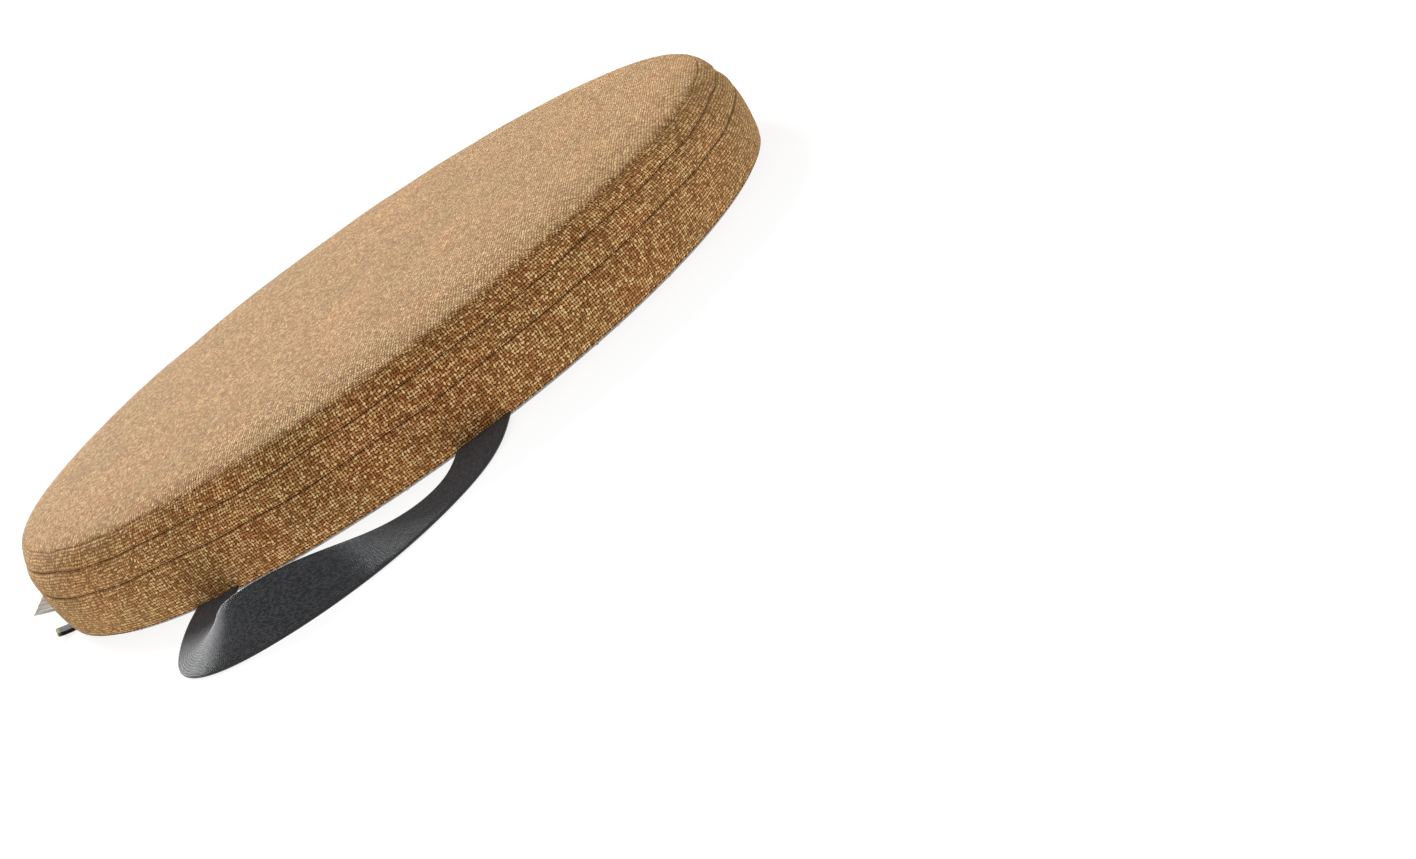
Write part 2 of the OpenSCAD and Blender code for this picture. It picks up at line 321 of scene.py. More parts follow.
@dataclass(frozen=True)
class Value:
    """A number or colour that a material's nodes work out; arithmetic on it adds a Math node each time."""

    graph: "Graph"
    socket: bpy.types.NodeSocket

    def __add__(self, other: "Value | float") -> "Value":
        """The sum."""
        return self.graph.math("ADD", self, other)

    def __sub__(self, other: "Value | float") -> "Value":
        """The difference."""
        return self.graph.math("SUBTRACT", self, other)

    def __rsub__(self, other: float) -> "Value":
        """A plain number less this value."""
        return self.graph.math("SUBTRACT", other, self)

    def __mul__(self, other: "Value | float") -> "Value":
        """The product."""
        return self.graph.math("MULTIPLY", self, other)

    def __truediv__(self, other: float) -> "Value":
        """The quotient."""
        return self.graph.math("DIVIDE", self, other)

    def whole(self) -> "Value":
        """The whole number at or below it."""
        return self.graph.math("FLOOR", self)

    def part(self) -> "Value":
        """What is left above the whole number."""
        return self.graph.math("FRACT", self)

    def centred(self) -> "Value":
        """-1 to 1 between one whole number and the next."""
        return self.part() * 2.0 - 1.0

    def zigzag(self) -> "Value":
        """1 at each whole number and 0 half-way between two."""
        return self.graph.math("ABSOLUTE", self.centred())

    def odd(self) -> "Value":
        """1 where a whole number is odd, and 0 where it is even."""
        return self.graph.math("FLOORED_MODULO", self, 2.0)


class Graph:
    """Adds nodes to a material, one short call each."""

    def __init__(self, name: str) -> None:
        """Starts an empty material.

        Args:
            name: The material's name.
        """
        self.material = bpy.data.materials.new(name)
        self.material.use_nodes = True
        self.tree = self.material.node_tree
        self.tree.nodes.clear()
        self.shader = self.tree.nodes.new("ShaderNodeBsdfPrincipled")
        output = self.tree.nodes.new("ShaderNodeOutputMaterial")
        self.tree.links.new(self.shader.outputs[0], output.inputs[0])

    def node(self, kind: str, inputs: dict, **settings) -> bpy.types.Node:
        """Adds one node.

        Args:
            kind: Its type, without the words ShaderNode.
            inputs: What each input links to or holds, by name or number.
            settings: Its other settings.

        Returns:
            The node.
        """
        node = self.tree.nodes.new(f"ShaderNode{kind}")
        for name, value in settings.items():
            setattr(node, name, value)
        for key, value in inputs.items():
            self.plug(node.inputs[key], value)
        return node

    def plug(self, socket: bpy.types.NodeSocket, value: "Value | float | tuple") -> None:
        """Links a socket, or sets its own value where value is a plain number or colour."""
        if isinstance(value, Value):
            self.tree.links.new(value.socket, socket)
        else:
            socket.default_value = value

    def set(self, **values) -> None:
        """Sets or links inputs of the shader, named with _ for spaces."""
        for name, value in values.items():
            self.plug(self.shader.inputs[name.replace("_", " ")], value)

    def math(self, operation: str, *values) -> Value:
        """One Math node."""
        return Value(self, self.node("Math", dict(enumerate(values)), operation=operation).outputs[0])

    def step(self, value: Value, low: float, high: float) -> Value:
        """A soft step of value from low to high."""
        inputs = {"Value": value, "From Min": low, "From Max": high}
        return Value(self, self.node("MapRange", inputs, interpolation_type="SMOOTHSTEP").outputs[0])

    def split(self, vector: Value) -> list[Value]:
        """The three parts of a vector."""
        return [Value(self, socket) for socket in self.node("SeparateXYZ", {0: vector}).outputs]

    def vector(self, *parts) -> Value:
        """A vector from up to three parts."""
        return Value(self, self.node("CombineXYZ", dict(enumerate(parts))).outputs[0])

    def uv(self) -> Value:
        """The piece's own cloth UV, in metres."""
        return Value(self, self.node("UVMap", {}, uv_map="cloth").outputs[0])

    def place(self) -> Value:
        """Object coordinates, in metres."""
        return Value(self, self.node("TexCoord", {}).outputs["Object"])

    def noise(self, vector: Value, scale: float, detail: float = 2.0) -> Value:
        """Smooth noise from 0 to 1, mostly near a half."""
        inputs = {"Vector": vector, "Scale": scale, "Detail": detail, "Roughness": 0.5}
        return Value(self, self.node("TexNoise", inputs).outputs[0])

    def patches(self, scale: float, detail: float, low: float, high: float) -> Value:
        """Soft-edged patches over the object, from 0 to 1: noise between two levels."""
        return self.step(self.noise(self.place(), scale, detail), low, high)

    def chance(self, *parts) -> Value:
        """An even random value from 0 to 1 for each different set of parts."""
        return Value(self, self.node("TexWhiteNoise", {"Vector": self.vector(*parts)}).outputs[0])

    def ramp(self, value: Value, *stops: tuple[float, Colour]) -> Value:
        """A colour ramp through the given places and colours."""
        node = self.node("ValToRGB", {0: value})
        elements = node.color_ramp.elements
        while len(elements) < len(stops):
            elements.new(1.0)
        for element, (at, colour) in zip(elements, stops):
            element.position = at
            element.color = (*colour, 1.0)
        return Value(self, node.outputs[0])

    def mix(self, share: Value | float, a: Value | Colour, b: Value | Colour, blend: str = "MIX") -> Value:
        """Mixes two colours."""
        node = self.node("Mix", {0: share}, data_type="RGBA", blend_type=blend)
        for socket, value in zip([s for s in node.inputs if s.type == "RGBA"], (a, b)):
            self.plug(socket, (*value, 1.0) if isinstance(value, tuple) else value)
        return Value(self, next(s for s in node.outputs if s.type == "RGBA"))

    def bump(self, height: Value, distance: float) -> None:
        """Puts a bump of that height in metres on the shader's normal."""
        node = self.node("Bump", {"Strength": 1.0, "Distance": distance, "Height": height})
        self.tree.links.new(node.outputs[0], self.shader.inputs["Normal"])


@dataclass(frozen=True)
class PlainWeave:
    """A plain weave: warp and weft yarns pass over and under each other in turn.

    In each square cell of one warp and one weft yarn, the upper yarn is a half-round ridge that falls off
    with the square of the distance from its middle line; the lower one shows beside it.

    pitch is the distance between yarns. slub and slub_scale are how far and how finely the yarns wander.
    streak is how fast the tone changes along a yarn. fray and uneven are how ragged and unequal they are.
    """

    pitch: float
    slub: float
    slub_scale: float
    streak: float
    fray: float = 0.0
    uneven: float = 0.0

    def draw(self, g: Graph) -> tuple[Value, Value, Value]:
        """Adds the weave's nodes.

        Args:
            g: The material that is being made.

        Returns:
            The height from 0 to 1, a tone from 0 to 1 along each yarn, and a random value for each cell.
        """
        u, v, _ = g.split(g.uv())
        wander_u = g.noise(g.vector(u * 3.0, v), self.slub_scale)
        wander_v = g.noise(g.vector(v, u * 0.35, 7.0), self.slub_scale * 2)
        fine_u = g.noise(g.vector(u, v, 3.0), 0.55 / self.pitch, 1.0)
        fine_v = g.noise(g.vector(v, u, 5.0), 0.55 / self.pitch, 1.0)
        a = (fine_u * self.fray + wander_u * self.slub + u) / self.pitch
        b = (fine_v * self.fray + wander_v * self.slub + v) / self.pitch
        column, row = a.whole(), b.whole()
        from_a, from_b = a.centred(), b.centred()
        over = (column + row).odd()
        under = 1.0 - over
        bold_a = g.chance(column, 2.0) * self.uneven + (1.0 - self.uneven)
        bold_b = g.chance(4.0, row) * self.uneven + (1.0 - self.uneven)
        warp = self.ridge(g, from_a * from_a, from_b * from_b, over, under) * bold_a
        weft = self.ridge(g, from_b * from_b, from_a * from_a, under, over) * bold_b
        on_warp = g.math("GREATER_THAN", warp, weft)
        tone_warp = g.noise(g.vector(column * 5.37, b * self.streak, 1.0), 1.0, 1.0)
        tone_weft = g.noise(g.vector(a * self.streak, row * 5.37, 9.0), 1.0, 1.0)
        tone = (tone_warp - tone_weft) * on_warp + tone_weft
        return g.math("MAXIMUM", warp, weft), tone, g.chance(column, row, on_warp * 3.0)

    @staticmethod
    def ridge(g: Graph, across2: Value, along2: Value, over: Value, under: Value) -> Value:
        """A yarn's height: (1 - across squared) times a crest that is high where the yarn is on top."""
        crest = along2 * -0.45 + 1.0
        trough = along2 * 0.35 + 0.12
        return g.math("MAXIMUM", across2 * -1.45 + 1.0, 0.0) * (crest * over + trough * under)


@dataclass(frozen=True)
class Linen:
    """Linen-look cloth: a coarse plain weave of mottled tan and brown yarns with a short nap."""

    name: str = "linen_weave"
    weave: PlainWeave = PlainWeave(1.35 * MM, 1.2 * MM, 110.0, 0.35, 1.3 * MM, 0.22)
    # gap is painted shade: the near black shown where the weave is low, between the yarns
    gap: Colour = (0.060, 0.011, 0.002)
    dark: Colour = (0.300, 0.105, 0.022)
    middle: Colour = (0.640, 0.305, 0.098)
    light: Colour = (1.000, 0.680, 0.310)
    relief: float = 0.45 * MM

    def make(self) -> bpy.types.Material:
        """Builds the material: yarn tones, painted shade in the gaps between yarns, faint patches, weave
        bump and sheen.
        """
        g = Graph(self.name)
        height, tone, cell = self.weave.draw(g)
        tone = (cell - 0.5) * 0.9 + ((tone - 0.5) * 0.8 + 0.5)
        yarn = g.ramp(tone, (0.05, self.dark), (0.5, self.middle), (0.95, self.light))
        # painted shade: where the weave is low, between the yarns, the dark gap colour replaces the yarn's
        cloth = g.mix(g.step(height, 0.10, 0.68), self.gap, yarn)
        warm = g.mix(g.patches(28.0, 3.0, 0.3, 0.7), (0.90, 0.93, 0.88), (1.06, 1.0, 0.98))
        g.bump(g.noise(g.place(), 2600.0) * 0.25 + height, self.relief)
        g.set(Base_Color=g.mix(1.0, cloth, warm, "MULTIPLY"), Roughness=0.88, Specular_IOR_Level=0.18)
        g.set(Sheen_Weight=0.30, Sheen_Roughness=0.45, Sheen_Tint=(1.0, 0.74, 0.34, 1.0))
        return g.material


@dataclass(frozen=True)
class GripCloth:
    """Pale grey backing cloth under the pad: a fine plain weave."""

    name: str = "grip_cloth"
    weave: PlainWeave = PlainWeave(0.7 * MM, 0.2 * MM, 120.0, 0.3)

    def make(self) -> bpy.types.Material:
        """Builds the material: a fine weave in two greys with painted shade between the yarns, a little
        grubby in patches.
        """
        g = Graph(self.name)
        height, tone, cell = self.weave.draw(g)
        yarn = g.ramp(cell * 0.3 + tone * 0.8, (0.15, (0.36, 0.36, 0.38)), (0.9, (0.66, 0.66, 0.67)))
        # painted shade: dark grey where the weave is low, between the yarns
        cloth = g.mix(g.step(height, 0.1, 0.5), (0.20, 0.20, 0.21), yarn)
        grubby = g.mix(1.0, cloth, (0.88, 0.87, 0.85), "MULTIPLY")
        cloth = g.mix(g.patches(18.0, 4.0, 0.35, 0.75), cloth, grubby)
        g.bump(height, 0.15 * MM)
        g.set(Base_Color=cloth, Roughness=0.9, Specular_IOR_Level=0.2)
        g.set(Sheen_Weight=0.15, Sheen_Roughness=0.5)
        return g.material


@dataclass(frozen=True)
class Rubber:
    """The grip dots: soft black rubber, dusty in patches."""

    name: str = "grip_rubber"

    def make(self) -> bpy.types.Material:
        """Builds the material: near black, lighter where dust has settled."""
        g = Graph(self.name)
        dust = g.patches(240.0, 4.0, 0.4, 0.8)
        g.set(Base_Color=g.mix(dust, (0.016, 0.016, 0.018), (0.055, 0.053, 0.050)))
        g.set(Roughness=dust * 0.25 + 0.5, Specular_IOR_Level=0.4)
        g.bump(g.noise(g.place(), 3200.0), 0.03 * MM)
        return g.material


@dataclass(frozen=True)
class Foam:
    """Open-cell upholstery foam, cream."""

    name: str = "foam"

    def make(self) -> bpy.types.Material:
        """Builds the material: pores from a cell pattern, painted darker as shade in their hollows,
        slightly yellowed.
        """
        g = Graph(self.name)
        cells = g.node("TexVoronoi", {"Vector": g.place(), "Scale": 900.0})
        pore = g.step(Value(g, cells.outputs["Distance"]), 0.1, 0.6)
        body = g.mix(g.patches(14.0, 3.0, 0.3, 0.7), (0.78, 0.68, 0.44), (0.84, 0.76, 0.55))
        # painted shade: the pores take a darker brown than the foam's body
        g.set(Base_Color=g.mix(pore, (0.50, 0.40, 0.22), body), Roughness=0.95)
        g.bump(pore, 0.4 * MM)
        return g.material


@dataclass(frozen=True)
class Webbing:
    """Charcoal woven webbing: ribs across the strap with painted shade between the yarns, denser selvedges,
    a cool sheen.
    """

    name: str = "webbing"
    rib: float = 1.15 * MM
    yarn: float = 0.55 * MM
    edge: float = 1.6 * MM
    half_width: float = 12.5 * MM

    def make(self) -> bpy.types.Material:
        """Builds the material from the strap's UV: u across from its middle line, v along it."""
        g = Graph(self.name)
        u, v, _ = g.split(g.uv())
        column = (u / self.yarn).whole()
        row = v / self.rib + column.odd() * 0.5
        across = (u / self.yarn).centred()
        height = (1.0 - across * across) * (row.zigzag() * -0.6 + 1.0)
        cell = g.chance(column, row.whole())
        grey = g.ramp(cell, (0.0, (0.022, 0.023, 0.024)), (1.0, (0.100, 0.102, 0.107)))
        # painted shade: near black where the yarns are low, between the ribs and the yarns
        cloth = g.mix(g.step(height, 0.15, 0.7), (0.007, 0.007, 0.008), grey)
        from_middle = g.math("ABSOLUTE", u)
        selvedge = g.step(from_middle, self.half_width - self.edge, self.half_width - 0.4 * self.edge)
        g.bump(height, 0.2 * MM)
        g.set(Base_Color=g.mix(selvedge, cloth, (0.026, 0.026, 0.028)), Roughness=0.62)
        g.set(Specular_IOR_Level=0.35, Sheen_Weight=0.12, Sheen_Roughness=0.35)
        g.set(Sheen_Tint=(0.80, 0.88, 1.0, 1.0))
        return g.material


@dataclass(frozen=True)
class ZipTape:
    """Woven zip tape: brown, in a fine herringbone."""

    name: str = "zip_tape"
    column: float = 2.4 * MM
    rib: float = 0.6 * MM

    def make(self) -> bpy.types.Material:
        """Builds the material: slanting ribs that turn back at each column, from the tape's UV, with
        painted shade between the ribs.
        """
        g = Graph(self.name)
        u, v, _ = g.split(g.uv())
        rib = (u / self.rib + (v / self.column).zigzag()).zigzag()
        tone = g.noise(g.uv(), 900.0) * 0.5 + rib * 0.6
        # painted shade: the tone follows the ribs' relief, darker between them; the noise is the tape's own
        # uneven tone
        g.set(Base_Color=g.ramp(tone, (0.1, (0.060, 0.024, 0.010)), (0.9, (0.200, 0.092, 0.040))))
        g.set(Roughness=0.8, Specular_IOR_Level=0.25, Sheen_Weight=0.25)
        g.bump(rib, 0.1 * MM)
        return g.material


@dataclass(frozen=True)
class Nylon:
    """The zip's coils: brown nylon wire, slightly clear and glossy."""

    name: str = "zip_nylon"

    def make(self) -> bpy.types.Material:
        """Builds the material: worn duller along the crests."""
        g = Graph(self.name)
        wear = g.patches(420.0, 3.0, 0.35, 0.7)
        g.set(Base_Color=g.mix(wear, (0.150, 0.064, 0.026), (0.235, 0.112, 0.052)))
        g.set(Roughness=wear * 0.2 + 0.28, Specular_IOR_Level=0.5)
        g.bump(g.noise(g.place(), 1800.0), 0.02 * MM)
        return g.material


@dataclass(frozen=True)
class Metal:
    """The zip's cast parts: antique nickel, rubbed bright in places."""

    name: str = "zip_metal"

    def make(self) -> bpy.types.Material:
        """Builds the material: tarnish patches, fine scratches and a cast surface."""
        g = Graph(self.name)
        worn = g.patches(420.0, 3.0, 0.30, 0.75)
        x, y, z = g.split(g.place())
        brush = g.noise(g.vector(x * 0.15, y, z * 4.0), 2400.0)
        g.set(Base_Color=g.mix(worn, (0.31, 0.29, 0.26), (0.38, 0.36, 0.32)), Metallic=1.0)
        g.set(Roughness=brush * 0.3 + 0.24)
        g.bump(worn * 0.2 + brush, 0.02 * MM)
        return g.material


@dataclass(frozen=True)
class Thread:
    """Twisted sewing thread: plies show as slanting bands along each stitch, with painted shade between the
    plies.
    """

    name: str
    dark: Colour
    light: Colour
    ply: float = 0.7 * MM

    def make(self) -> bpy.types.Material:
        """Builds the material from slanting bands and fine noise in object coordinates."""
        g = Graph(self.name)
        x, y, z = g.split(g.place())
        band = ((z * 2.0 + (x - y)) / self.ply).zigzag()
        tone = g.noise(g.place(), 3000.0) * 0.4 + band * 0.6
        # painted shade: the tone follows the bands' relief, darker between the plies; the noise is the
        # thread's own uneven tone
        g.set(Base_Color=g.ramp(tone, (0.1, self.dark), (0.9, self.light)))
        g.set(Roughness=0.8, Specular_IOR_Level=0.2, Sheen_Weight=0.05)
        g.bump(band, 0.05 * MM)
        return g.material


@dataclass(frozen=True)
class Satin:
    """The care label's white satin: long floats across it and a few pale grey woven bars, no lettering."""

    name: str = "label_satin"
    bar_pitch: float = 3.4 * MM
    row: float = 0.22 * MM
    float_length: float = 1.8 * MM

    def make(self) -> bpy.types.Material:
        """Builds the material from the label's UV: u across it, v along it."""
        g = Graph(self.name)
        u, v, _ = g.split(g.uv())
        along = (u / self.float_length + g.chance((v / self.row).whole())).part()
        tone = g.noise(g.vector(u * 0.2, v), 2200.0)
        white = g.ramp(tone, (0.3, (0.66, 0.66, 0.64)), (0.7, (0.80, 0.79, 0.77)))
        inked = 1.0 - g.step((u / self.bar_pitch).zigzag(), 0.10, 0.22)
        share = inked * g.step(v, 2.5 * MM, 3.2 * MM) * 0.6
        g.set(Base_Color=g.mix(share, white, (0.16, 0.17, 0.15)), Roughness=0.42)
        g.set(Specular_IOR_Level=0.4, Sheen_Weight=0.2)
        g.bump((1.0 - along) * along, 0.05 * MM)
        return g.material


@dataclass(frozen=True)
class TabCloth:
    """The edge tab's black tape with an olive selvedge at its outer fold."""

    name: str = "tab_cloth"
    olive_from: float = 6.2 * MM
    rib: float = 0.6 * MM
    yarn: float = 0.4 * MM

    def make(self) -> bpy.types.Material:
        """Builds the material from the tab's UV: v is the distance out from the seam."""
        g = Graph(self.name)
        u, v, _ = g.split(g.uv())
        cell = g.chance((u / self.yarn).whole(), (v / self.rib).whole())
        black = g.ramp(cell, (0.0, (0.012, 0.011, 0.009)), (1.0, (0.045, 0.040, 0.032)))
        olive = g.ramp(cell, (0.0, (0.10, 0.11, 0.030)), (1.0, (0.26, 0.27, 0.10)))
        edge = g.step(v, self.olive_from, self.olive_from + 0.5 * MM)
        g.set(Base_Color=g.mix(edge, black, olive), Roughness=0.8, Specular_IOR_Level=0.15)
        g.bump((v / self.rib).zigzag(), 0.08 * MM)
        return g.material


class Finishes:
    """Every material, made once."""

    def __init__(self) -> None:
        """Makes them all."""
        self.linen = Linen().make()
        self.grip = GripCloth().make()
        self.rubber = Rubber().make()
        self.foam = Foam().make()
        self.webbing = Webbing().make()
        self.tape = ZipTape().make()
        self.nylon = Nylon().make()
        self.metal = Metal().make()
        self.thread = Thread("seam_thread", (0.020, 0.008, 0.003), (0.085, 0.036, 0.015)).make()
        self.black_thread = Thread("black_thread", (0.006, 0.006, 0.006), (0.045, 0.045, 0.048)).make()
        self.satin = Satin().make()
        self.tab = TabCloth().make()


def dress(
    made: bpy.types.Object,
    material: bpy.types.Material,
    body: Body | None,
    nodes: Sequence[str] = (),
) -> bpy.types.Object:
    """Gives a piece its material, body and the CAD nodes that it stands for, and reports it.

    Args:
        made: The piece.
        material: Its material.
        body: The body that it rides on, or None to leave it unattached.
        nodes: The CAD nodes that it replaces.

    Returns:
        The piece.
    """
    made.data.materials.append(material)
    if body is not None:
        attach(made, body.value)
    if nodes:
        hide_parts(*nodes)
    stands_for = ", ".join(nodes) or "nothing"
    log.info("%s: %d faces, stands for %s", made.name, len(made.data.polygons), stands_for)
    return made


# ---------------------------------------------------------------------------------------------------
# The pad's form
# ---------------------------------------------------------------------------------------------------


@dataclass
class PadForm:
    """The pad's outer skin: one profile line from the hem under it, up the side and over to the middle.

    s is the distance along that line from the hem's inner edge. The side is a barrel, whose radius falls
    by the square of the height above or below its widest ring. The top is flat in the middle and falls with
    the sixth power of the radius. A bell-weighted average along the line rounds the shoulder and the foot.
    """

    radius: float
    side_h: float
    crown: float
    foot_z: float
    line1: float
    line2: float
    top_seam: float
    top_in: float = 5 * MM
    foot_in: float = 3 * MM
    widest: float = 20 * MM
    crown_power: float = 6.0
    hem: float = 12 * MM
    cloth: float = 1.4 * MM
    shoulder_spread: float = 6.6 * MM
    foot_spread: float = 1.1 * MM
    foot_reach: float = 20 * MM
    foot_fade: float = 18 * MM
    step: float = 0.25 * MM

    @classmethod
    def from_frame(cls, seam_gap: float = 0.9 * MM) -> "PadForm":
        """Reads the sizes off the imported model's boxes.

        Args:
            seam_gap: The opening that the CAD leaves for a thread between two cloth edges.

        Returns:
            The form.
        """
        back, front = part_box("side_band_back"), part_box("side_band_front")
        band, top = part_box("upper_band"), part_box("top_panel")
        side_h = band[1].z + seam_gap + cls.cloth
        return cls(
            radius=back[1].y,
            side_h=side_h,
            crown=top[1].z - side_h,
            foot_z=back[0].z,
            line1=back[1].z + seam_gap / 2,
            line2=front[1].z + seam_gap / 2,
            top_seam=band[1].z + seam_gap / 2,
        )

    def __post_init__(self) -> None:
        """Works out the profile line and its normals."""
        z = np.linspace(self.foot_z, self.side_h, 200)
        foot_r = self.side_radius(np.array([self.foot_z]))[0]
        hem = np.stack([np.linspace(foot_r - self.hem, foot_r, 50)[:-1], np.full(49, self.foot_z)], -1)
        side = np.stack([self.side_radius(z), z], -1)
        r = np.linspace(side[-1, 0], 0, 500)[1:]
        top = np.stack([r, self.side_h + self.crown * (1 - (r / side[-1, 0]) ** self.crown_power)], -1)
        line = np.vstack([hem, side, top])
        along = distances(line)
        s = np.arange(0, along[-1], self.step)
        even = sampled(s, along, line)
        tight = bell_average(even, self.step, self.foot_spread)
        soft = bell_average(even, self.step, self.shoulder_spread)
        share = smoothstep((s - self.hem - self.foot_reach) / self.foot_fade)[:, None]
        line = tight * (1 - share) + soft * share
        line[-1, 0] = 0.0
        self.s = distances(line)
        self.line = line
        self.normal = beside(line)
        self.s_foot = float(np.interp(self.foot_z + 1.5 * MM, line[60:260, 1], self.s[60:260]))
        self.s_top = float(self.s[-1])

    def side_radius(self, z: Array) -> Array:
        """Radius of the barrel at height z."""
        above = self.top_in * ((z - self.widest) / (self.side_h - self.widest)) ** 2
        below = self.foot_in * ((self.widest - z) / self.widest) ** 2
        return self.radius - np.where(z > self.widest, above, below)

    def at_height(self, z: float) -> float:
        """Distance along the line at a height on the side."""
        rising = self.line[:, 0] > self.radius - 12 * MM
        return float(np.interp(z, self.line[rising, 1], self.s[rising]))

    def skin(self, s: Array) -> tuple[Array, Array]:
        """Points (r, z) and outward normals at distances along the line."""
        return sampled(s, self.s, self.line), unit(sampled(s, self.s, self.normal))


def wave_sum(azimuth: Array, rng: np.random.Generator, counts: Sequence[int]) -> Array:
    """A ripple round the rim: sines with the given whole numbers of waves, random phases and sizes.

    Args:
        azimuth: Directions in radians.
        rng: The seeded source of random numbers.
        counts: How many waves each sine has in a full turn.

    Returns:
        The ripple, about -1 to 1.
    """
    phases = rng.uniform(0, TURN, len(counts))
    sizes = rng.uniform(0.4, 1.0, len(counts))
    total = np.zeros_like(azimuth)
    for count, phase, size in zip(counts, phases, sizes):
        total += size * np.sin(count * azimuth + phase)
    return total / np.sqrt((sizes**2).sum())


@dataclass
class Relief:
    """How the filled cover departs from its profile: the simulated swelling, and puckers at the seams."""

    form: PadForm
    swell: Array
    rows: Array
    columns: int
    seams: tuple[float, ...]
    drift_size: float = 0.35 * MM
    drift_reach: float = 6 * MM
    drift_waves: tuple[int, ...] = (5, 9, 14, 23, 37)
    pucker_size: float = 0.16 * MM
    pucker_reach: float = 3.2 * MM
    pucker_waves: tuple[int, ...] = (83, 97, 112, 131, 149)
    foot_fade: float = 6 * MM
    seed: int = 11

    def swelling(self, azimuth: Array, s: Array) -> Array:
        """Radial and vertical swelling, by cubic interpolation of the simulated grid.

        Args:
            azimuth: Directions in radians.
            s: Distances along the profile, of the same shape.

        Returns:
            An array with one more axis, (radial, vertical).
        """
        row = np.interp(s, self.rows, np.arange(len(self.rows)))
        column = (azimuth / TURN) % 1.0 * self.columns
        i, j = np.floor(row).astype(int), np.floor(column).astype(int)
        wi, wj = self.cubic(row - i), self.cubic(column - j)
        total = np.zeros(azimuth.shape + (2,))
        for a in range(4):
            ii = np.clip(i + a - 1, 0, len(self.rows) - 1)
            for b in range(4):
                jj = (j + b - 1) % self.columns
                total += (wi[a] * wj[b])[..., None] * self.swell[ii, jj]
        return total

    @staticmethod
    def cubic(f: Array) -> tuple[Array, ...]:
        """The four weights of a Catmull-Rom curve at fraction f between the middle two points."""
        return (
            0.5 * (-f + 2 * f**2 - f**3),
            0.5 * (2 - 5 * f**2 + 3 * f**3),
            0.5 * (f + 4 * f**2 - 3 * f**3),
            0.5 * (-(f**2) + f**3),
        )

    def points(self, azimuth: Array, s: Array, depth: Array) -> Array:
        """Places on or under the cover's face.

        The seam lines wander up and down a little, each with its own ripple that fades away from it.
        Close to a seam the cloth is drawn in by short puckers that fade with the distance from it.

        Args:
            azimuth: Directions in radians.
            s: Distances along the profile, of the same shape.
            depth: How far below the face, of the same shape.

        Returns:
            Points with one more axis, (x, y, z).
        """
        rng = np.random.default_rng(self.seed)
        drift, pucker = np.zeros_like(s), np.zeros_like(s)
        for seam in self.seams:
            away = np.abs(s - seam)
            drift += wave_sum(azimuth, rng, self.drift_waves) * np.exp(-((away / self.drift_reach) ** 2))
            short = wave_sum(azimuth, rng, self.pucker_waves)
            pucker += (0.5 + 0.5 * short) * np.exp(-away / self.pucker_reach)
        moved = np.clip(s + drift * self.drift_size, 0, self.form.s_top)
        place, normal = self.form.skin(moved)
        place = place - (depth + pucker * self.pucker_size)[..., None] * normal
        above_foot = smoothstep((s - self.form.s_foot) / self.foot_fade)[..., None]
        place = place + self.swelling(azimuth, s) * above_foot
        return about_axis(place[..., 0], azimuth, place[..., 1])


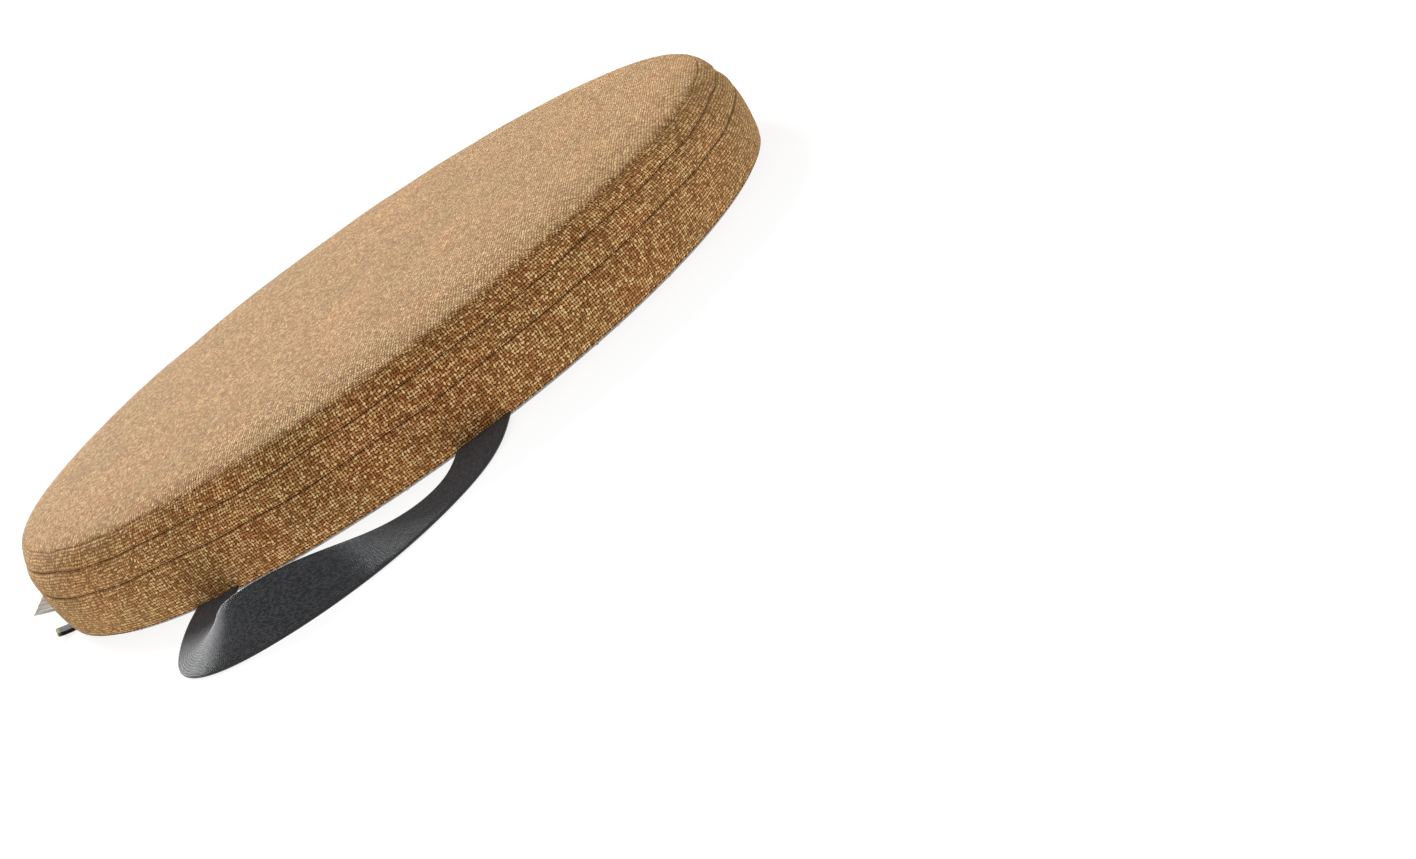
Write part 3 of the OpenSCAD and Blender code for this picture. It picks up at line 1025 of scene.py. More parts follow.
@dataclass
class Inflation:
    """Cloth simulation of the cover as one balloon over the foam, held at its foot.

    The proxy is the profile turned round the axis, a little too large for its place, so that the cloth
    has slack to ripple with. Air pressure fills it out and each point's move is capped.
    """

    form: PadForm
    columns: int = 180
    side_rows: int = 16
    top_rows: int = 30
    frames: int = 20
    pressure: float = 4.0
    slack: float = 0.012
    cap: float = 0.9 * MM
    rough: float = 0.12 * MM
    inward_share: float = 0.25
    seed: int = 5

    def grid_rows(self) -> Array:
        """Distances along the profile of the proxy's rings, close together up the side."""
        shoulder = self.form.at_height(self.form.top_seam) + 12 * MM
        side = np.linspace(self.form.s_foot, shoulder, self.side_rows)
        top = np.linspace(shoulder, self.form.s_top - 5 * MM, self.top_rows)[1:]
        return np.r_[side, top]

    def run(self) -> Relief:
        """Returns:
            The relief, with the swelling on the proxy's grid.
        """
        form, rows = self.form, self.grid_rows()
        seams = tuple(form.at_height(z) for z in (form.line1, form.line2, form.top_seam))
        swell = np.zeros((len(rows), self.columns, 2))
        swell = self.simulate(rows)
        log.info("swelling: %.2f mm at most", np.abs(swell).max() / MM)
        return Relief(form, swell, rows, self.columns, seams)

    def simulate(self, rows: Array) -> Array:
        """Builds the proxy, inflates it and measures how each ring point moved.

        Args:
            rows: The rings' distances along the profile.

        Returns:
            Radial and vertical moves with shape (rings, columns, 2).
        """
        azimuth = full_turn(self.columns)
        place, normal = self.form.skin(rows)
        rng = np.random.default_rng(self.seed)
        rough = rng.normal(0, self.rough, (len(rows), self.columns))
        bumpy = place[:, None] + rough[..., None] * normal[:, None]
        rings = about_axis(bumpy[..., 0], azimuth, bumpy[..., 1])
        proxy = swept(rings).build("cover_proxy")
        pins = proxy.vertex_groups.new(name="foot")
        pins.add([*range(self.columns), len(rows) * self.columns], 1.0, "REPLACE")
        self.inflate(proxy)
        shaped = proxy.evaluated_get(bpy.context.evaluated_depsgraph_get())
        moved = mesh_points(shaped.data)[: len(rows) * self.columns].reshape(rings.shape)
        bpy.context.scene.frame_set(1)
        bpy.data.objects.remove(proxy)
        out = np.hypot(moved[..., 0], moved[..., 1]) - place[:, None, 0]
        return self.calmed(np.stack([out, moved[..., 2] - place[:, None, 1]], -1), normal[:, None])

    def inflate(self, proxy: bpy.types.Object) -> None:
        """Gives the proxy its cloth and runs all the frames."""
        cloth = proxy.modifiers.new("Cloth", "CLOTH")
        settings = cloth.settings
        settings.quality = 6
        settings.mass = 0.3
        settings.tension_stiffness = settings.compression_stiffness = 20
        settings.shear_stiffness = 8
        settings.bending_stiffness = 0.4
        settings.shrink_min = -self.slack
        settings.vertex_group_mass = "foot"
        settings.use_pressure = True
        settings.uniform_pressure_force = self.pressure
        settings.effector_weights.gravity = 0
        cloth.point_cache.frame_end = self.frames
        for frame in range(1, self.frames + 1):
            bpy.context.scene.frame_set(frame)

    def calmed(self, swell: Array, normal: Array) -> Array:
        """Averages the moves with their neighbours round the rim, weakens those inwards and caps them all.

        The cap is soft: a move's size becomes the cap times the hyperbolic tangent of its share of the cap.

        Args:
            swell: Radial and vertical moves with shape (rings, columns, 2).
            normal: The face's normal at each ring.

        Returns:
            The calmer moves.
        """
        for shift in (1, -1, 2, -2):
            swell = 0.5 * (swell + np.roll(swell, shift, 1))
        out = (swell * normal).sum(-1, keepdims=True)
        swell = swell + (np.where(out < 0, self.inward_share * out, out) - out) * normal
        size = np.linalg.norm(swell, axis=-1, keepdims=True)
        return swell * (self.cap * np.tanh(size / self.cap) / np.maximum(size, 1e-9))


@dataclass
class Strip:
    """A strip of cover cloth between two distances along the profile, turned through an arc.

    Its outer face keeps to the skin and rolls in at each sewn edge as a quarter of an ellipse. Its inner
    face is one cloth thickness below.
    """

    relief: Relief
    s0: float
    s1: float
    az0: float = 0.0
    az1: float = TURN
    low_depth: float = 0.65 * MM
    high_depth: float = 0.65 * MM
    bulge: float = 0.0
    roll_width: float = 1.5 * MM
    spacing: float = 2.0 * MM
    column: float = 2.5 * MM

    def rows(self) -> Array:
        """Distances along the profile, closer together at the rolled edges."""
        edge = self.roll_width * (1 - np.cos(np.linspace(0, math.pi / 2, 6)))
        inner = np.linspace(self.s0 + self.roll_width, self.s1 - self.roll_width, self.count())[1:-1]
        return np.r_[self.s0 + edge, inner, (self.s1 - edge)[::-1]]

    def count(self) -> int:
        """How many rows lie between the rolled edges."""
        return max(4, int(round((self.s1 - self.s0 - 2 * self.roll_width) / self.spacing)) + 1)

    def roll(self, s: Array) -> Array:
        """Depth of the outer face: a quarter ellipse near each edge, less a sine's arch across it."""
        depth = np.zeros_like(s)
        for deep, away in ((self.low_depth, s - self.s0), (self.high_depth, self.s1 - s)):
            x = 1 - np.clip(away / self.roll_width, 0, 1)
            depth += deep * (1 - np.sqrt(1 - x * x))
        return depth - self.bulge * np.sin(math.pi * (s - self.s0) / (self.s1 - self.s0))

    def section(self) -> tuple[Array, Array]:
        """The closed outline as (distances, depths): the outer face up, the inner face back."""
        s = self.rows()
        outer = self.roll(s)
        arch = self.bulge * np.sin(math.pi * (s - self.s0) / (self.s1 - self.s0))
        inner = np.maximum(outer + 0.25 * MM, self.relief.form.cloth - arch)
        return np.r_[s, s[::-1]], np.r_[outer, inner[::-1]]

    def solid(self) -> Solid:
        """Turns the section through the arc.

        Returns:
            The closed solid, with UVs of arc length round the rim and distance along the profile.
        """
        s, depth = self.section()
        radius = self.relief.form.radius
        n = int(round((self.az1 - self.az0) * radius / self.column))
        azimuth = np.linspace(self.az0, self.az1, n)
        az, ss = np.meshgrid(azimuth, s, indexing="ij")
        rings = self.relief.points(az, ss, np.broadcast_to(depth, ss.shape))
        return sheet_solid(rings, np.stack([az * radius, ss], -1))


@dataclass
class TopPanel(Strip):
    """The round top cloth: from the middle out to the top seam, then down inside the band as a hem."""

    hem: float = 6 * MM
    turn: float = 1.6 * MM
    polar_rows: int = 44

    def rows(self) -> Array:
        """From the hem's end, over the seam, to just short of the middle."""
        seam, top = self.s0, self.relief.form.s_top
        hem = np.linspace(seam - self.hem, seam - 0.6 * MM, 6)
        edge = seam + self.roll_width * (1 - np.cos(np.linspace(0, math.pi / 2, 7)))
        shoulder = np.linspace(edge[-1], edge[-1] + 24 * MM, 14)[1:]
        flat = np.linspace(shoulder[-1], top - 0.5 * MM, self.polar_rows)[1:]
        return np.r_[hem, edge, shoulder, flat]

    def roll(self, s: Array) -> Array:
        """Depth below the skin: rolls in at the seam, then passes behind the band."""
        x = 1 - np.clip((s - self.s0) / self.roll_width, 0, 1)
        rolled = self.low_depth * (1 - np.sqrt(1 - x * x))
        behind = smoothstep((self.s0 + 0.2 * MM - s) / (0.9 * MM))
        return rolled + behind * (self.turn - self.low_depth + 0.1 * MM)

    def solid(self) -> Solid:
        """Turns the open section round the axis and closes it at the middle, above and below.

        Returns:
            The closed solid, with planar UVs of the distance from the middle of the cloth.
        """
        s = self.rows()
        outer = self.roll(s)
        inner = outer + self.relief.form.cloth
        ss, depth = np.r_[s[::-1], s], np.r_[outer[::-1], inner]
        radius, top = self.relief.form.radius, self.relief.form.s_top
        azimuth = full_turn(int(round(TURN * radius / self.column)))
        row, az = np.meshgrid(ss, azimuth, indexing="ij")
        rings = self.relief.points(az, row, np.broadcast_to(depth[:, None], row.shape))
        return swept(rings, uv=about_axis(top - row, az, 0.0)[..., :2])


@dataclass
class StitchRun:
    """A run of lock stitches along a seam: each is a short thread that dips into the cloth at both ends."""

    relief: Relief
    s: float
    az0: float = 0.0
    az1: float = TURN
    depth: float = 0.55 * MM
    length: float = 2.9 * MM
    pitch: float = 3.3 * MM
    thread: float = 0.45 * MM
    dip: float = 0.45 * MM
    sides: int = 6
    rings: int = 5

    def solid(self) -> Solid:
        """Each stitch is a tube whose radius falls towards its ends as the root of 1 less the fourth power.

        Returns:
            All the stitches as one solid.
        """
        arc = (self.az1 - self.az0) * self.relief.form.radius
        count = int(arc / self.pitch)
        middle = self.az0 + (np.arange(count) + 0.5) / count * (self.az1 - self.az0)
        t = np.linspace(-0.96, 0.96, self.rings)
        turn = full_turn(self.sides)
        radius = self.thread / 2 * np.sqrt(1 - t**4)
        sink = self.depth + self.dip * t**4
        shape = (count, self.rings, self.sides)
        half_angle = self.length / 2 / self.relief.form.radius
        az = np.broadcast_to((middle[:, None] + t * half_angle)[..., None], shape)
        s = np.broadcast_to(self.s + radius[None, :, None] * np.sin(turn), shape)
        depth = np.broadcast_to(sink[None, :, None] - radius[None, :, None] * np.cos(turn), shape)
        rings = self.relief.points(az, s, depth)
        ends = rings[:, [0, -1]].mean(2)
        places = np.concatenate([rings.reshape(count, -1, 3), ends], 1)
        return repeated(swept(rings[0]), places)


# ---------------------------------------------------------------------------------------------------
# Sub-assemblies
# ---------------------------------------------------------------------------------------------------


@dataclass
class ZipArc:
    """Where the zip runs round the rim, as directions and angles in radians.

    patch is the angle of each end patch, garage that of the bare stretch where the closed slider rests, and
    join the gap between two neighbouring cloth edges.
    """

    middle: float = math.radians(-82)
    half: float = math.radians(100)
    patch: float = math.radians(3.5)
    garage: float = math.radians(8)
    join: float = math.radians(0.1)

    @property
    def start(self) -> float:
        """Where the zip's arc begins."""
        return self.middle - self.half

    @property
    def end(self) -> float:
        """Where the zip's arc ends."""
        return self.middle + self.half

    @property
    def garage_end(self) -> float:
        """Where the bare stretch for the slider ends."""
        return self.end - self.patch

    @property
    def garage_start(self) -> float:
        """Where the lap ends and the bare stretch begins."""
        return self.garage_end - self.garage


@dataclass
class Cover:
    """The cloth cover's panels and its seams."""

    relief: Relief
    arc: ZipArc
    finishes: Finishes
    gap: float = 0.16 * MM

    def build(self) -> bpy.types.Object:
        """Makes every panel and thread line.

        Returns:
            The top panel.
        """
        form, arc, gap = self.relief.form, self.arc, self.gap
        s1, s2, s3 = (form.at_height(z) for z in (form.line1, form.line2, form.top_seam))
        tight, soft = 0.04 * MM, 0.3 * MM
        top = TopPanel(self.relief, s3 + tight, form.s_top, low_depth=soft)
        top = self.panel("top_cloth", top, ["top_panel"])
        around = (arc.end + arc.join, arc.start + TURN - arc.join)
        band = (arc.end + arc.join / 4, arc.end + TURN - arc.join / 4)
        band = Strip(self.relief, s1 + gap, s3 - tight, *band, high_depth=soft)
        self.panel("upper_band_cloth", band, ["upper_band"])
        front = Strip(self.relief, 0.0, s2 - gap, arc.start, arc.end, low_depth=0.0)
        self.panel("side_cloth_front", front, ["side_band_front"])
        back = Strip(self.relief, 0.0, s1 - gap, *around, low_depth=0.0)
        self.panel("side_cloth_back", back, ["side_band_back"])
        reach = (arc.start + arc.patch + arc.join, arc.garage_start)
        lap = Strip(self.relief, s2 + gap, s1 - gap, *reach, bulge=0.8 * MM)
        self.panel("zip_lap_cloth", lap, ["zip_lap"])
        patches = [
            Strip(self.relief, s2 + gap, s1 - gap, a, a + arc.patch - arc.join)
            for a in (arc.start, arc.garage_end + arc.join)
        ]
        made = joined([p.solid() for p in patches]).build("zip_end_patches")
        dress(made, self.finishes.linen, Body.PAD, ["zip_end_tabs"])
        foot = form.s_foot - 2.4 * MM
        for name, node, run in (
            ("top_seam_stitches", "top_seam_thread", StitchRun(self.relief, s3, depth=0.9 * MM)),
            ("line_stitches", "band_seam_thread", StitchRun(self.relief, s1, arc.end, arc.start + TURN)),
            ("lap_stitches", "lap_stitching", StitchRun(self.relief, s2, arc.start, arc.end)),
            ("foot_stitches", "bottom_seam_thread", StitchRun(self.relief, foot, depth=0.1 * MM)),
        ):
            dress(run.solid().build(name), self.finishes.thread, Body.PAD, [node])
        return top

    def panel(self, name: str, strip: Strip, nodes: Sequence[str]) -> bpy.types.Object:
        """Makes one panel of linen."""
        return dress(strip.solid().build(name), self.finishes.linen, Body.PAD, nodes)


@dataclass
class Core:
    """The foam disc inside the cover."""

    relief: Relief
    finishes: Finishes
    clearance: float = 1.9 * MM
    groove: float = 7.0 * MM
    groove_reach: float = 9.0 * MM
    groove_end: float = math.radians(2)
    hem_room: float = 2.04 * MM
    columns: int = 360

    def build(self, arc: ZipArc) -> bpy.types.Object:
        """Makes the foam: the profile turned round the axis below the cloth, pressed in behind the zip.

        Args:
            arc: Where the zip runs.

        Returns:
            The foam.
        """
        form = self.relief.form
        seam = form.at_height(form.top_seam)
        side = np.linspace(form.s_foot + 1 * MM, seam + 14 * MM, 34)
        s = np.r_[side, np.linspace(seam + 20 * MM, form.s_top - 0.6 * MM, 36)]
        azimuth = full_turn(self.columns)
        row, az = np.meshgrid(s[::-1], azimuth, indexing="ij")
        middle_s = form.at_height((form.line1 + form.line2) / 2)
        behind = smoothstep(1.6 - np.abs(row - middle_s) / self.groove_reach)
        turned = (az - arc.middle + math.pi) % TURN - math.pi
        within = smoothstep((arc.half - np.abs(turned)) / self.groove_end + 0.5)
        hem = smoothstep((row - form.at_height(form.line1)) / (3 * MM))
        hem = hem * smoothstep((seam + 4 * MM - row) / (4 * MM))
        depth = self.clearance + np.maximum(behind * within * self.groove, hem * self.hem_room)
        rings = self.relief.points(az, row, depth)
        under = np.linspace(form.radius - form.hem - 8 * MM, 1 * MM, 30)[:, None]
        shape = np.concatenate([rings, about_axis(under, azimuth, form.foot_z)])
        made = swept(shape).build("foam_disc")
        dress(made, self.finishes.foam, Body.PAD, ["foam_core"])
        return made


@dataclass
class Underside:
    """The anti-slip bottom cloth and its rubber dots."""

    relief: Relief
    finishes: Finishes
    dot: float = 1.9 * MM
    pitch: float = 4.8 * MM
    dot_height: float = 0.5 * MM
    rim_inset: float = 2.2 * MM
    dot_inset: float = 1.6 * MM
    columns: int = 480
    rows: int = 47

    def build(self) -> bpy.types.Object:
        """Makes the cloth, whose rim turns up to the seam, and the dots on a staggered grid.

        Returns:
            The bottom cloth.
        """
        form = self.relief.form
        low, thick = self.dot_height, form.foot_z - self.dot_height - 0.05 * MM
        rim = form.side_radius(np.array([form.foot_z]))[0] - self.rim_inset
        half = thick / 2
        turn = np.linspace(-math.pi / 2, math.pi / 2, 9)
        edge_r, edge_z = rim - half + half * np.cos(turn), low + half + half * np.sin(turn)
        inward = np.linspace(rim - half, 1 * MM, self.rows + 1)[1:]
        r = np.r_[inward[::-1], edge_r, inward]
        z = np.r_[np.full(self.rows, low), edge_z, np.full(self.rows, low + thick)]
        rings = about_axis(r[:, None], full_turn(self.columns), z[:, None])
        cloth = swept(rings, uv=rings[..., :2]).build("bottom_cloth")
        dress(cloth, self.finishes.grip, Body.PAD, ["bottom_panel"])
        dots = self.dots(rim - self.dot_inset).build("grip_dots")
        dress(dots, self.finishes.rubber, Body.PAD)
        return cloth

    def dots(self, reach: float) -> Solid:
        """Low domes of rubber, in rows half a pitch apart in turn: each is two rings and its tip.

        Args:
            reach: The largest radius at which a dot may lie.

        Returns:
            All the dots as one solid.
        """
        half = int(reach / self.pitch / math.sqrt(0.75)) + 2
        i, j = np.meshgrid(np.arange(-half, half + 1), np.arange(-half, half + 1), indexing="ij")
        x = (i + 0.5 * (j % 2)) * self.pitch
        y = j * self.pitch * math.sqrt(0.75)
        keep = np.hypot(x, y) < reach
        centre = np.stack([x[keep], y[keep]], -1)
        radii = np.array([1.0, 0.72]) * self.dot / 2
        heights = np.array([self.dot_height + 0.1 * MM, 0.12 * MM])
        ring = about_axis(radii[:, None], full_turn(8), heights[:, None])
        dome = swept(ring)
        shape = np.vstack([ring.reshape(-1, 3), [[0, 0, heights[0]], [0, 0, 0]]])
        places = np.broadcast_to(shape, (len(centre), *shape.shape)).copy()
        places[..., :2] += centre[:, None]
        return repeated(dome, places)


@dataclass
class Strap:
    """The carrying strap: one length of webbing, sewn in at both ends and laid in a loop beside the rim.

    In plan its middle line is one cubic curve that leaves both ends square to the rim. It rolls on to its
    outer edge at the turn, by a bell round the turn's place, and its height keeps that edge on the floor.
    """

    finishes: Finishes
    width: float = 25 * MM
    thick: float = 1.3 * MM
    end_x: float = 67 * MM
    tail: float = 17 * MM
    hinge_gap: float = 1.4 * MM
    reach_left: float = 135 * MM
    reach_right: float = 75 * MM
    roll: float = math.radians(55)
    roll_at: float = 0.42
    roll_spread: float = 0.24
    floor_gap: float = 0.2 * MM
    end_fade: float = 0.09
    rib: float = 1.15 * MM
    rib_height: float = 0.07 * MM

    def build(self) -> bpy.types.Object:
        """Makes the webbing and its bar tacks.

        Returns:
            The webbing.
        """
        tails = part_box("strap_tails")
        self.fold_y = tails[0].y
        self.mid_z = (tails[0].z + tails[1].z) / 2
        centre, across, through, along = self.line()
        solid = self.ribbon(centre, across, through, along)
        made = solid.build("carry_strap_webbing")
        dress(made, self.finishes.webbing, None, ["carry_strap", "strap_tails"])
        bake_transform(made)
        tacks = self.tacks()
        log.info("webbing: %.0f mm long", along[-1] / MM)
        dress(tacks, self.finishes.black_thread, Body.PAD, ["strap_bartacks"])
        return made

    def line(self) -> tuple[Array, Array, Array, Array]:
        """The middle line and its frame, tails included.

        Returns:
            Points, directions across the webbing, directions through it, and distances along it.
        """
        t = np.linspace(0, 1, 900)
        x = self.end_x * (3 * t**2 - 2 * t**3 - (1 - t) ** 2 * (1 + 2 * t))
        y = self.fold_y - self.hinge_gap - 3 * (1 - t) ** 2 * t * self.reach_left
        y = y - 3 * (1 - t) * t**2 * self.reach_right
        dx = 12 * self.end_x * t * (1 - t)
        dy = -3 * self.reach_left * (1 - t) * (1 - 3 * t) - 3 * self.reach_right * t * (2 - 3 * t)
        size = np.hypot(dx, dy)
        dx, dy = dx / size, dy / size
        a = self.roll * np.exp(-(((t - self.roll_at) / self.roll_spread) ** 2))
        share = np.exp(-((t / self.end_fade) ** 2)) + np.exp(-(((1 - t) / self.end_fade) ** 2))
        lying = self.width / 2 * np.sin(a) + self.thick / 2 * np.cos(a) + self.floor_gap
        z = lying * (1 - share) + self.mid_z * share
        centre = np.stack([x, y, z], -1)
        across = np.stack([-dy * np.cos(a), dx * np.cos(a), np.sin(a)], -1)
        through = np.stack([dy * np.sin(a), -dx * np.sin(a), np.cos(a)], -1)
        inward = np.linspace(self.tail + self.hinge_gap, 0.3 * MM, 60)
        tail_y = self.fold_y - self.hinge_gap + inward
        left = np.stack(np.broadcast_arrays(-self.end_x, tail_y, self.mid_z), -1)
        centre = np.vstack([left, centre, left[::-1] * [-1, 1, 1]])
        ends = ((len(left), len(left)), (0, 0))
        across, through = np.pad(across, ends, "edge"), np.pad(through, ends, "edge")
        return centre, across, through, distances(centre)

    def ribbon(self, centre: Array, across: Array, through: Array, along: Array) -> Solid:
        """The webbing's skin: a flat section with rounded selvedges, and ribs across it as a sine along it.

        Args:
            centre: The middle line.
            across: Directions across the webbing.
            through: Directions through it.
            along: Distances along it.

        Returns:
            The closed solid, with UVs of the distance across and along.
        """
        count = int(round(along[-1] / self.rib)) * 4
        even = np.linspace(0, along[-1], count + 1)
        c, a, n = (sampled(even, along, v) for v in (centre, across, through))
        a, n = unit(a), unit(n)
        half_w, half_t = self.width / 2, self.thick / 2 - self.rib_height
        bend = np.linspace(-math.pi / 2, math.pi / 2, 6)[1:-1]
        corner = half_t * 0.9
        side_u, side_w = half_w - corner + corner * np.cos(bend), half_t * np.sin(bend)
        top_u = np.linspace(half_w - corner, corner - half_w, 11)
        top_w = np.full_like(top_u, half_t)
        u = np.r_[side_u, top_u, -side_u[::-1], top_u[::-1]]
        w = np.r_[side_w, top_w, side_w[::-1], -top_w]
        ribbed = np.sign(w) * (np.abs(w) > 0.99 * half_t)
        w_all = w + self.rib_height * np.cos(TURN * even / self.rib)[:, None] * ribbed
        rings = c[:, None] + a[:, None] * u[None, :, None] + n[:, None] * w_all[..., None]
        uv = np.stack(np.broadcast_arrays(u[None, :], even[:, None]), -1)
        return swept(rings, uv=uv)

    def tacks(self) -> bpy.types.Object:
        """The bar tacks: on each tail a thread that zigzags across it.

        Returns:
            The two tacks as one object.
        """
        low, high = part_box("strap_bartacks")
        middle_y, depth = (low.y + high.y) / 2, high.y - low.y
        z = low.z + 0.22 * MM
        half = high.x - self.end_x
        turns = 34
        t = np.linspace(0, turns, turns * 6 + 1)
        saw = 2 * np.abs(t - np.floor(t + 0.5)) * 2 - 1
        y = middle_y + saw * (depth / 2 - 0.25 * MM)
        lift = z + 0.12 * MM * np.cos(math.pi * saw / 2)
        solids = []
        for x0 in (-self.end_x, self.end_x):
            x = x0 - half + 0.3 * MM + t / turns * (2 * half - 0.6 * MM)
            path = np.stack([x, y, lift], -1)
            level = np.cross(np.gradient(path, axis=0), [0.0, 0.0, 1.0])
            solids.append(pipe(path, 0.2 * MM, level))
        return joined(solids).build("bar_tacks")


def pipe(path: Array, radius: float, towards: Array, sides: int = 6) -> Solid:
    """A round thread or wire along a path, with a ring square to the path at each point.

    Args:
        path: Points of its middle line.
        radius: Its radius.
        towards: At each point, a direction that its ring's first point is turned to.
        sides: Points round it.

    Returns:
        The closed solid. A ring's point is the path's plus cos times one side and sin times the other.
    """
    along = unit(np.gradient(path, axis=0))
    first = unit(towards - (towards * along).sum(-1, keepdims=True) * along)
    second = np.cross(along, first)
    turn = full_turn(sides)[None, :, None]
    return swept(path[:, None] + radius * (np.cos(turn) * first[:, None] + np.sin(turn) * second[:, None]))


@dataclass
class Tag:
    """A folded tag sewn into the bottom seam: two layers that part slightly and meet in an outer fold."""

    name: str
    node: str
    width: float
    length: float
    thick: float
    azimuth: float
    tilt: float
    root: float
    layer: float
    root_z: float = 1.2 * MM
    sewn: float = 3 * MM
    bend: float = 2 * MM
    curl: float = 0.0
    open_gap: float = 0.0
    twist: float = 0.0

    def solid(self) -> tuple[Solid, float]:
        """Sweeps the fold's outline across the width.

        The cloth's middle line runs out along the lower layer, round the fold and back along the upper one.

        Returns:
            The closed solid, and the flat length of its cloth.
        """
        gap, fold_at = (self.thick - self.layer) / 2, self.length - self.thick / 2
        out = np.linspace(-self.sewn, fold_at, 40)
        bow = self.open_gap * np.sin(np.clip(out / self.length, 0, 1) * math.pi)
        bend = np.linspace(-math.pi / 2, math.pi / 2, 12)[1:-1]
        away = np.r_[out, fold_at + gap * np.cos(bend), out[::-1]]
        line = np.stack([away, np.r_[-gap - bow * 0.4, gap * np.sin(bend), (gap + bow)[::-1]]], -1)
        half = beside(line) * self.layer / 2
        loop_out, loop_up = np.vstack([line + half, (line - half)[::-1]]).T
        away = np.r_[away, away[::-1]]
        across = np.linspace(-self.width / 2, self.width / 2, 25)[:, None]
        share = np.clip(away / self.length, 0, 1)
        ripple = 0.35 * self.open_gap * np.sin(across / self.width * 7)
        turned = self.twist * smoothstep(loop_out / self.length)
        height = loop_up + self.curl * share**2 + ripple * share + across * np.sin(turned)
        rise = self.tilt * smoothstep(0.5 + loop_out / self.bend)
        out_at, up_at = self.bent(loop_out)
        r = self.root + out_at - height * np.sin(rise)
        along_rim = np.array([-math.sin(self.azimuth), math.cos(self.azimuth), 0.0])
        rings = about_axis(r, self.azimuth, self.root_z + up_at + height * np.cos(rise))
        rings = rings + (across * np.cos(turned))[..., None] * along_rim
        uv = np.stack(np.broadcast_arrays(across, away), -1)
        return sheet_solid(rings, uv), float(distances(line)[-1])

    def bent(self, away: Array) -> tuple[Array, Array]:
        """The tag's middle plane: level inside the seam, then up at its tilt, through a soft bend.

        Args:
            away: Distances along it from the seam's outer edge, negative inside.

        Returns:
            How far out and how far up each lies.
        """
        even = np.linspace(-self.sewn, self.length, 400)
        rise = self.tilt * smoothstep(0.5 + even / self.bend)
        gap = even[1] - even[0]
        out, up = np.cumsum(np.cos(rise)) * gap, np.cumsum(np.sin(rise)) * gap
        out -= np.interp(0, even, out)
        up -= np.interp(0, even, up)
        return np.interp(away, even, out), np.interp(away, even, up)

    def build(self, material: bpy.types.Material, slot: Slot, body: Body | None) -> bpy.types.Object:
        """Makes the tag; one that rides on no body has its place baked into its mesh."""
        solid, flat = self.solid()
        made = solid.build(self.name)
        dress(made, material, body, [self.node])
        log.info("%s: flat %.0f x %.0f mm", self.name, self.width / MM, flat / MM)
        if body is None:
            across_seam = self.root + np.array([-1.0, 1.5]) * MM
            start, end = about_axis(across_seam, self.azimuth, self.root_z).tolist()
            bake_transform(made)
        return made


